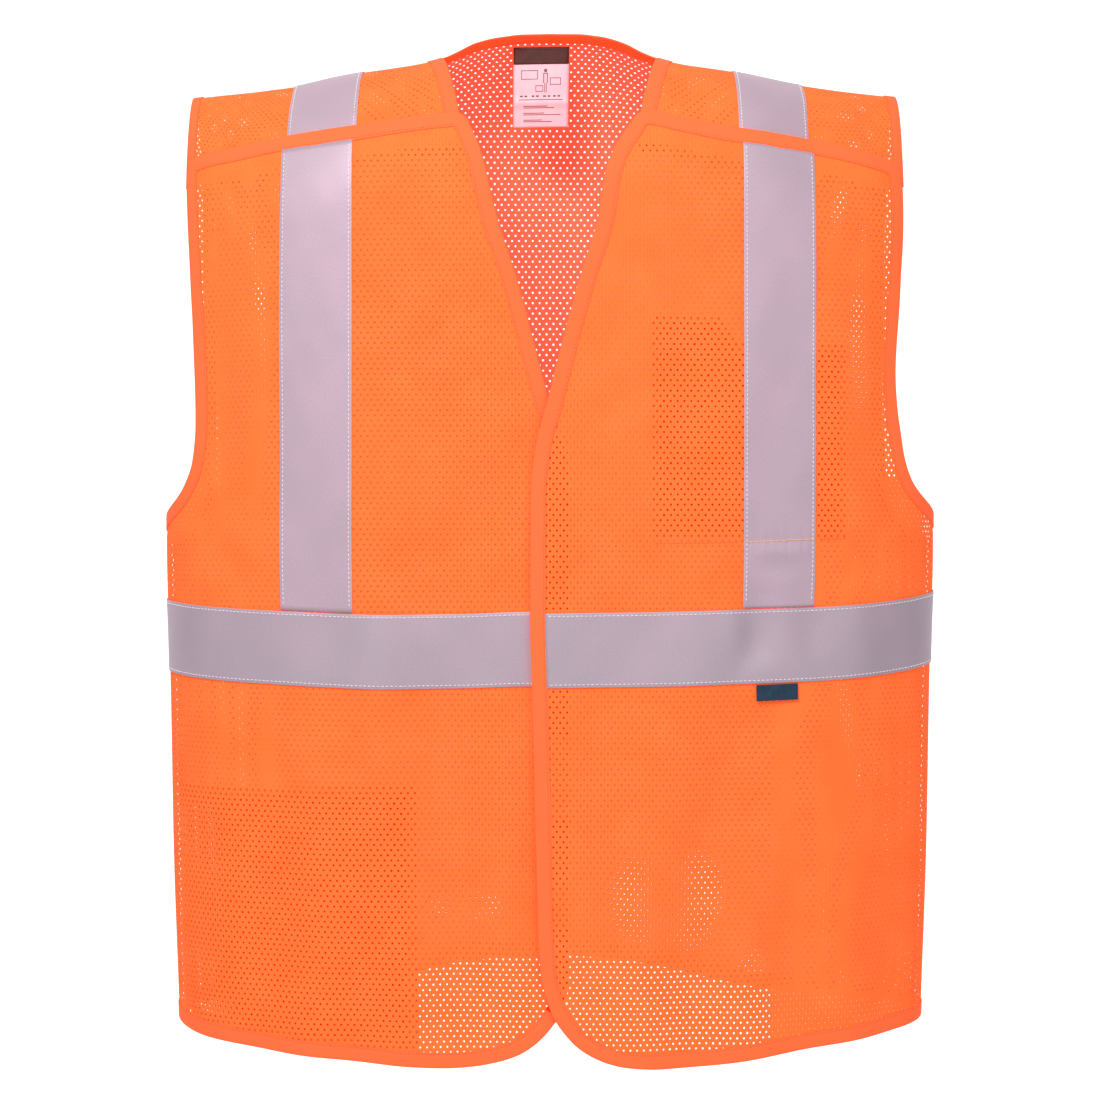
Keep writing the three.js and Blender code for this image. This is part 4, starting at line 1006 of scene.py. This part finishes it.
    def across(u, v, sg=sg, waist=waist, key=key):
        zc = waist(0.0) - u * TAPE_W
        a_in = inner_edge[key](zc) + BIND_W - 0.5
        a = a_in + v * (a_out - a_in)
        return sg * a, waist(a) - u * TAPE_W

    def across_bump(u, v, key=key):
        d = np.minimum(u, 1 - u) * TAPE_W
        return 0.13 * ripple(v * 325, 3.0 + (key == "left"), 5.2) * np.exp(-((d - 2.0) / 2.6) ** 2) + 0.12 * np.sin(v * 40 + u * 2) * np.sin(u * 5 + v * 9)

    ob = tape(f"{body}_waist_band", "front", across, 18, 110, T0 + 0.42, T1 + 0.42, M_BAND, lift, across_bump, (TAPE_W, 325))
    keep(ob, body, "reflective_tape", f"{body}_waist_tape")
    for u in (2.1 / TAPE_W, 1 - 2.1 / TAPE_W):
        vv = np.linspace(0.004, 0.996, 240)
        a, z = across(np.full_like(vv, u), vv)
        white.run("front", a, z, T1 + 0.52 + 0.13 * ripple(vv * 325, 3.0 + (key == "left"), 5.2), lift=lift)
    white.done(body, parts[body])

    # hook tape under the top and side edges, loop tape facing it on the back
    hz = lambda a, top_z=top_z: top_z(a) - BIND_W - 2.6
    sh = lambda u, v: (sg * (74 + v * 160), hz(74 + v * 160) - (1 - u) * 14)
    sd = lambda u, v: (sg * (299.2 + u * 14.4), -332 - v * 318)
    fuzz = lambda u, v: 0.05 * np.sin(v * 300) * np.sin(u * 17)
    keep(tape(f"{body}_top_hooks", "front", sh, 8, 64, 3.3, 3.8, M_HOOK, None, fuzz, (14, 160)), body, "hook_tape", f"shoulder_hook_{key}")
    keep(tape(f"{body}_side_hooks", "front", sd, 8, 90, 3.2, 3.7, M_HOOK, None, fuzz, (12.6, 318)), body, "hook_tape", f"side_hook_{key}")
    keep(tape(f"back_{key}_top_loops", "front", sh, 8, 64, 2.2, 2.7, M_LOOP, None, fuzz, (14, 160)), "back", "loop_tape", f"shoulder_loop_{key}")
    keep(tape(f"back_{key}_side_loops", "front", sd, 8, 90, 2.1, 2.6, M_LOOP, None, fuzz, (12.6, 318)), "back", "loop_tape", f"side_loop_{key}")
    cloths[key + "_stuff"] = True

# centre closure patches
for k, (z0, z1) in enumerate([(-384, -426), (-462, -520), (-564, -592)]):
    for key, h0, h1, mat, off, who, slot in (("hook", 3.5, 4.1, M_HOOK, 0.0, "left", "hook_tape"), ("loop", 1.0, 1.6, M_LOOP, 1.0, "right", "loop_tape")):
        def patch(u, v, z0=z0, z1=z1, off=off):
            z = z0 + (z1 - z0) * v
            e = inner_edge["left"](z) + BIND_W + 0.6 - off
            return e + u * np.minimum(12.5, 12.8 - e), z
        keep(tape(f"centre_{key}_patch_{k + 1}", "front", patch, 6, 20, h0, h1, mat, None, None, (12, abs(z1 - z0))), "front_" + who, slot, f"centre_{key}_{k + 1}")

# ---------------------------------------------------------------- inside pockets
def pocket(name, poly, phase, h, body, node, lift, mouth, edges, thread_name):
    """A patch of the same mesh with a folded hem at its mouth and turned-in edges, sewn on with orange thread."""
    hf = lambda a, z: h + (lift(a, z) if lift else 0 * a)
    cloth = mesh_cloth(name + "_cloth", "front", poly, phase, hf, M_MESH, (poly[:, 0].min(), poly[:, 0].max(), poly[:, 1].min(), poly[:, 1].max()), margin=3.5, r=(0.72, 0.80))
    keep(cloth, body, "mesh_fabric", node)
    # painted shade: a second sheet with the same holes, 0.3 mm outside the pocket, in the painted-shade mesh, seen
    # through the front's holes
    face = mesh_cloth(name + "_painted_shade_face", "front", poly, phase, lambda a, z: hf(a, z) + 0.3, M_MESH_PAINTED_SHADE, (poly[:, 0].min(), poly[:, 0].max(), poly[:, 1].min(), poly[:, 1].max()), margin=3.5, r=(0.74, 0.82))
    keep(face, body, "mesh_fabric")
    th = Thread(thread_name, M_THREAD, 0.24)
    for i, (path, width) in enumerate([(mouth, 13.0)] + [(e, 7.5) for e in edges]):
        p = np.asarray(path, float)
        s = np.concatenate([[0], np.cumsum(np.hypot(*np.diff(p, axis=0).T))])
        d = np.gradient(p, axis=0)
        d /= np.linalg.norm(d, axis=1, keepdims=True)
        n = np.stack([-d[:, 1], d[:, 0]], -1)
        fa, fz, na, nz = (Pchip(list(zip(s, c))) for c in (p[:, 0], p[:, 1], n[:, 0], n[:, 1]))
        band = lambda u, v: (fa(v * s[-1]) + na(v * s[-1]) * u * width, fz(v * s[-1]) + nz(v * s[-1]) * u * width)
        hb = 0.05 * i
        ob = tape(f"{name}_{'mouth_hem' if i == 0 else 'turned_edge_%d' % i}", "front", band, 8, max(16, int(s[-1] / 5)), h - 0.55 - hb, h - 0.22 - hb, M_BIND, lift,
                  lambda u, v: 0.06 * ripple(v * s[-1], i + 0.5, 5.0) * np.sin(np.pi * u), (width, s[-1]))
        keep(ob, body, "mesh_fabric")
        for uu in ((0.86,) if i else (0.9, 0.12)):
            vv = np.linspace(0.01, 0.99, 100)
            a, z = band(np.full_like(vv, uu), vv)
            th.run("front", a, z, h - 0.55 - hb, pitch=2.9, length=2.1, lift=lift)
    th.done(body, parts[body])
    return cloth


ch = pocket("chest_pocket", CH, CENTRE_UP, 3.0, "front_left", "chest_pocket", None,
            polyline([[204.8, -196.4], [166, -196.3], [130, -195.8], [122, -186], [114.5, -176.6], [90, -176.2], [68.6, -176.2]]),
            [np.linspace([68.6, -176.2], [68.6, -330.4], 50), np.linspace([68.6, -330.4], [204.8, -330.4], 50), np.linspace([204.8, -330.4], [204.8, -196.4], 50)],
            "chest_pocket_stitches")
hr = hem_height["right"]
lp_bottom = [[-a, float(hr(a)) + BIND_W - 1.0] for a in np.linspace(92.6, 277.4, 40)]
LP = np.array([[-277.4, -501.8], [-92.6, -497.0]] + lp_bottom)
lp = pocket("lower_pocket", LP, (0.0, 0.0), 3.0, "front_right", "lower_pocket", tuck,
            np.linspace([-92.6, -497.2], [-277.4, -502.0], 60),
            [np.linspace([-277.4, -502.0], lp_bottom[-1], 60), np.array(lp_bottom[::-1]), np.linspace(lp_bottom[0], [-92.6, -497.2], 60)],
            "lower_pocket_stitches")
# the pocket's lower edge is sewn through the left upright tape
row = Thread("front_left_tape_cross_stitches", M_PALE, 0.42)
aa = np.linspace(131.6 + 1.2, 131.6 + TAPE_W - 1.2, 60)
row.run("front", aa, np.linspace(-331.6, -329.4, 60), MID + 0.72, pitch=2.3, length=2.15)
row.done("front_left", parts["front_left"])
seam = Thread("chest_pocket_face_stitches", M_THREAD, 0.26)
aa = np.linspace(70, 130, 60)
seam.run("front", aa, np.linspace(-332.6, -331.8, 60), MID + 0.12, pitch=2.9, length=2.2)
aa = np.linspace(184, 205, 30)
seam.run("front", aa, np.linspace(-329.6, -329.0, 30), MID + 0.12, pitch=2.9, length=2.2)
seam.done("front_left", parts["front_left"])

# ---------------------------------------------------------------- back
J_CUT = int(round(388 / PY))
span = (-352, 352, -700, 240)
zero = lambda a, v: 0 * a


def flap_size(b, v):
    k = np.ones(len(b))
    on = v < -6
    k[on] = hole_size(place("back", b[on], v[on], 0 * b[on]) * 1000, 0.36)
    return k


# painted light: the back cloth takes the back-lit copy of the mesh material, and the flaps over the shoulders take the
# plain one
up_cloth = mesh_cloth("back_upper_cloth", "back", back_poly, CENTRE_DOWN, zero, [M_BACK_PAINTED_LIGHT, M_MESH], span, back_warp, rows=(-80, J_CUT), r=(0.72, 0.78), size=flap_size, tone=lambda b, v: v < -5)
lo_cloth = mesh_cloth("back_lower_cloth", "back", back_poly, CENTRE_DOWN, zero, M_BACK_PAINTED_LIGHT, span, back_warp, rows=(J_CUT, 220, J_CUT), r=(0.72, 0.78))
keep(up_cloth, "back", "mesh_fabric", "back_panel")
keep(lo_cloth, "back", "mesh_fabric", "back_panel")

bt = Thread("back_binding_stitches", M_THREAD, 0.24)
ob, line = sweep("back_neck_fold", "back", neck_run, 1, 0.0, None, M_BIND, seed=5.2)
keep(ob, "back", "binding", "back_neck_binding")
for hh in (0.55, -0.55):
    bt.run("back", line[0][:, 0], line[0][:, 1], hh, pitch=2.9, length=2.1)
for s in (-1, 1):
    key = "right" if s < 0 else "left"
    ob, line = sweep(f"back_{key}_armhole_fold", "back", arm_run[s], s, 0.0, None, M_BIND, seed=6.0 + s)
    keep(ob, "back", "binding", f"back_armhole_binding_{key}")
    for hh in (0.55, -0.55):
        bt.run("back", line[0][:, 0], line[0][:, 1], hh, pitch=2.9, length=2.1)
    v0, v1 = arm_run[s][-1][1] + BIND_W + 0.6, hem_run[0][1] - BIND_W - 0.6
    ob, line = sweep(f"back_{key}_side_fold", "back", [[s * WRAP, v] for v in np.linspace(v0, v1, 120)], s, 0.0, None, M_BIND, seed=8.0 + s, wavy=0.2)
    keep(ob, "back", "binding", f"back_side_binding_{key}")
    bt.run("back", line[0][:, 0], line[0][:, 1], 0.55, pitch=2.9, length=2.1)
ob, line = sweep("back_hem_fold", "back", hem_run, -1, 0.0, None, M_BIND, seed=9.4)
keep(ob, "back", "binding", "back_hem_binding")
for hh in (0.55, -0.55):
    bt.run("back", line[0][:, 0], line[0][:, 1], hh, pitch=2.9, length=2.1)
bt.done("back", parts["back"])

B0, B1 = 0.28, 0.68
bw = Thread("back_tape_stitches", M_WHITE, 0.36)
for s in (-1, 1):
    key = "right" if s < 0 else "left"
    base = 130.4 if s > 0 else 133.4

    def over(u, v, s=s, base=base):
        b = base + u * TAPE_W
        ve, vw = flap_v(b, FLAP_END[s](b)) + 0.6, back_v(b, -367.4)
        return s * b, ve + (vw - ve) * v

    def over_bump(u, v, s=s):
        d = np.minimum(u, 1 - u) * TAPE_W
        crease = -0.22 * np.exp(-((v * 480 - 34 - 26 * u) / 4.5) ** 2) * (u > 0) * (s < 0)
        return 0.13 * ripple(v * 480, 4.0 + s, 5.1) * np.exp(-((d - 2.0) / 2.6) ** 2) + crease

    ob = tape(f"back_{key}_upright_tape", "back", over, 16, 150, B0, B1, M_TAPE, None, over_bump, (TAPE_W, 480))
    keep(ob, "back", "reflective_tape", f"back_{key}_shoulder_tape")
    for u in (2.1 / TAPE_W, 1 - 2.1 / TAPE_W):
        vv = np.linspace(0.004, 0.996, 260)
        b, v = over(np.full_like(vv, u), vv)
        bw.run("back", b, v, B1 + 0.10)
for s in (-1, 1):
    key = "right" if s < 0 else "left"

    # painted shade: a dark strip in the painted-shade binding between the end of each back flap and the front, put
    # where there is only shade
    def flap_shade_strip(u, v, s=s):
        b = 62 + v * 186
        return s * b, flap_v(b, FLAP_END[s](b) - 3.0 + 7.0 * u)

    keep(tape(f"back_{key}_flap_painted_shade_strip", "back", flap_shade_strip, 4, 60, 0.5, 0.9, M_BIND_PAINTED_SHADE, None, None, (6.5, 186)), "back", "binding")
be = WRAP - BIND_W + 0.4


def round_waist(u, v):
    b = -be + 2 * be * v
    return b, back_v(b, -368 - u * TAPE_W)


def round_bump(u, v):
    d = np.minimum(u, 1 - u) * TAPE_W
    return 0.13 * ripple(v * 680, 7.0, 5.1) * np.exp(-((d - 2.0) / 2.6) ** 2) + 0.1 * np.sin(v * 60 + u * 3)


ob = tape("back_waist_band", "back", round_waist, 16, 210, B0 + 0.42, B1 + 0.42, M_BAND, None, round_bump, (TAPE_W, 680))
keep(ob, "back", "reflective_tape", "back_waist_tape")
for u in (2.1 / TAPE_W, 1 - 2.1 / TAPE_W):
    vv = np.linspace(0.003, 0.997, 420)
    b, v = round_waist(np.full_like(vv, u), vv)
    bw.run("back", b, v, B1 + 0.52)
bw.done("back", parts["back"])


# ---------------------------------------------------------------- neck label and hem tab
def leaf(name, grid, thick, mat, body, slot, node=None):
    """A thin closed leaf from a grid of points (mm) with a thickness along the grid's normal."""
    g = np.asarray(grid, float)
    H, W = g.shape[:2]
    du, dv = np.gradient(g, axis=1), np.gradient(g, axis=0)
    n = np.cross(du, dv)
    n /= np.linalg.norm(n, axis=-1, keepdims=True)
    top, bot = (g + n * thick / 2).reshape(-1, 3), (g - n * thick / 2).reshape(-1, 3)
    f = []
    for j in range(H - 1):
        for i in range(W - 1):
            c = (j * W + i, j * W + i + 1, (j + 1) * W + i + 1, (j + 1) * W + i)
            f.append(c)
            f.append(tuple(k + H * W for k in c[::-1]))
    ring = list(range(W)) + [j * W + W - 1 for j in range(1, H)] + [(H - 1) * W + i for i in range(W - 2, -1, -1)] + [j * W for j in range(H - 2, 0, -1)]
    for k in range(len(ring)):
        s, t = ring[k], ring[(k + 1) % len(ring)]
        f.append((s, s + H * W, t + H * W, t))
    U, V = np.meshgrid(np.arange(W), np.arange(H))
    lu = np.linalg.norm(g[0, -1] - g[0, 0]) / max(W - 1, 1)
    lv = np.linalg.norm(g[-1, 0] - g[0, 0]) / max(H - 1, 1)
    flat = np.stack([U * lu, V * lv], -1).reshape(-1, 2)
    ob = make(name, np.concatenate([top, bot]) * 0.001, f, mat, {"OFBake": unit(np.concatenate([flat, flat + [lu * W * 1.1, 0]])), "knit": np.concatenate([flat, flat]) / 10.0})
    if volume(ob.data) < 0:
        ob.data.flip_normals()
    return keep(ob, body, slot, *([node] if node else []))


def label_point(u, v, lift=0.0):
    """u across 0..1, v down 0..1 from the sewn edge: hangs with a soft curl and a crease low down."""
    half = 20.7 - 0.5 * v
    x = -7.0 + (u - 0.5) * 2 * half - 0.5 * v + 0.6
    z = 36.2 - 59.4 * v + 0.7 * (u - 0.5)
    y = 55.3 - 1.5 * np.sin(np.pi * v) * (0.6 + 0.4 * np.cos((u - 0.5) * 2.4)) - 1.1 * np.exp(-((v - 0.70) / 0.05) ** 2) + 0.9 * (u - 0.5) ** 2 * v
    return np.stack([x, y - lift, z], -1)


V, U = np.meshgrid(np.linspace(0.17, 1, 44), np.linspace(0, 1, 17), indexing="ij")
leaf("neck_label_body", label_point(U, V), 0.22, M_LABEL, "neck_label", "label", "neck_label")
V, U = np.meshgrid(np.linspace(0.0, 0.215, 14), np.linspace(0, 1, 17), indexing="ij")
leaf("neck_label_header", label_point(U, V, 0.35), 0.3, M_HEADER, "neck_label", "label")
marks = [(v0, v0 + 0.010, u0, u1) for v0, u0, u1 in [(0.655, 0.10, 0.90), (0.735, 0.18, 0.62), (0.755, 0.18, 0.74), (0.82, 0.18, 0.56), (0.84, 0.18, 0.86), (0.905, 0.18, 0.52), (0.925, 0.18, 0.70)]]


def frame_of(v0, v1, u0, u1, w=0.012):
    return [(v0, v0 + w * 0.7, u0, u1), (v1 - w * 0.7, v1, u0, u1), (v0, v1, u0, u0 + w), (v0, v1, u1 - w, u1)]


marks += frame_of(0.29, 0.405, 0.14, 0.44) + frame_of(0.385, 0.475, 0.66, 0.86) + frame_of(0.48, 0.56, 0.40, 0.54)
marks += [(0.275, 0.315, 0.555, 0.605), (0.325, 0.45, 0.54, 0.555), (0.325, 0.45, 0.605, 0.62), (0.325, 0.335, 0.54, 0.62), (0.45, 0.57, 0.56, 0.572), (0.45, 0.57, 0.588, 0.60)]
marks += [(0.605, 0.625, u, u + 0.05) for u in (0.12, 0.20, 0.33, 0.41, 0.54, 0.62, 0.72, 0.80)]
for i, (v0, v1, u0, u1) in enumerate(marks):
    V, U = np.meshgrid(np.linspace(v0, v1, 3 if v1 - v0 < 0.03 else 12), np.linspace(u0, u1, 3 if u1 - u0 < 0.05 else 14), indexing="ij")
    leaf(f"neck_label_rule_{i + 1}", label_point(U, V, 0.17), 0.06, M_RULE, "neck_label", "label")
ls = Thread("neck_label_stitches", M_HEADER, 0.2)
pts = label_point(np.linspace(0.04, 0.96, 14), np.full(14, 0.03), 0.56)
for p0, p1 in zip(pts[:-1], pts[1:]):
    c, d = (p0 + p1) / 2, (p1 - p0) * 0.36
    k = len(ls.v)
    ls.v += [c - d, c + [0, -0.12, 0.2], c + [0, -0.12, -0.2], c + d]
    ls.f += [(k, k + 2, k + 1), (k + 3, k + 1, k + 2), (k, k + 1, k + 3), (k, k + 3, k + 2)]
ls.done("neck_label", parts["neck_label"])

wl = Pchip(OUT["left"]["waist"])


def tab_point(u, v, h):
    a = 156 + (u - 0.5) * 29.3
    z = wl(a) - TAPE_W - 0.9 - 11.0 * v + 0.25 * (u - 0.5)
    return place("front", a, z, h + 0.9 * v ** 1.5 + 0.25 * np.sin(u * 5) * v) * 1000


V, U = np.meshgrid(np.linspace(0, 1, 12), np.linspace(0, 1, 20), indexing="ij")
leaf("hem_tab_cloth", tab_point(U, V, MID + 1.45), 0.40, M_TAB, "hem_tab", "tab", "hem_tab")
for nm, (a0, a1, b0, b1) in {"left": (0.0, 0.035, 0, 1), "right": (0.965, 1.0, 0, 1), "foot": (0.0, 1.0, 0.90, 1.0)}.items():
    V, U = np.meshgrid(np.linspace(b0, b1, 12), np.linspace(a0, a1, 18), indexing="ij")
    leaf(f"hem_tab_{nm}_selvedge", tab_point(U, V, MID + 1.70), 0.12, M_TAB, "hem_tab", "tab")

# ---------------------------------------------------------------- each front cloth's area, width and length, read back and not used
for key in ("left", "right"):
    cloth, area, w, l = cloths[key]
cut = 0.300 * 0.72

# ---------------------------------------------------------------- studio
def stage_mat(name, col, glow):
    m, nt, b = node_mat(name, col, 0.9, glow=(1, 1, 1), glow_strength=glow, spec=0.1)
    return m


prof = [(-3.6, -1.25), (1.6, -1.25)] + [(1.6 + 0.9 * math.sin(t), -0.35 - 0.9 * math.cos(t)) for t in np.linspace(0.1, math.pi / 2, 12)] + [(2.5, 3.4)]
vs = [(x, y, z) for y, z in prof for x in (-4.5, 4.5)]
fs = [(2 * i, 2 * i + 1, 2 * i + 3, 2 * i + 2) for i in range(len(prof) - 1)]
floor = make("studio_sweep", vs, fs, [stage_mat("studio_floor", (0.35, 0.35, 0.35), 0.35), stage_mat("studio_white", (0.4, 0.4, 0.4), 1.0)], mat_of=[0] + [1] * (len(fs) - 1))

w = bpy.data.worlds.new("studio")
bpy.context.scene.world = w
w.use_nodes = True
w.node_tree.nodes["Background"].inputs[0].default_value = (1.0, 1.0, 1.0, 1)
w.node_tree.nodes["Background"].inputs[1].default_value = 0.34


def lamp(name, loc, aim, size, power):
    d = bpy.data.lights.new(name, "AREA")
    d.shape, d.size, d.size_y, d.energy = "RECTANGLE", size[0], size[1], power
    o = link(bpy.data.objects.new(name, d))
    o.location = loc
    from mathutils import Vector
    o.rotation_euler = (Vector(aim) - Vector(loc)).to_track_quat("-Z", "Y").to_euler()
    return o


lamp("key", (-0.55, -1.75, 1.05), (0, 0, -0.25), (0.9, 0.8), 30)
lamp("fill", (1.2, -2.3, 0.3), (0, 0, -0.30), (1.2, 1.2), 7)
lamp("top", (0.0, -0.6, 1.9), (0, 0, -0.2), (1.6, 1.2), 4)

cam = bpy.data.cameras.new("camera")
cam.lens, cam.sensor_width = 85.5, 36.0
cam.clip_end = 50
co = link(bpy.data.objects.new("camera", cam))
co.location = (0.0, -1.884, -0.337)
co.rotation_euler = (math.pi / 2, 0, 0)
bpy.context.scene.camera = co
bpy.context.scene.view_settings.view_transform = "Standard"
bpy.context.scene.view_settings.look = "None"
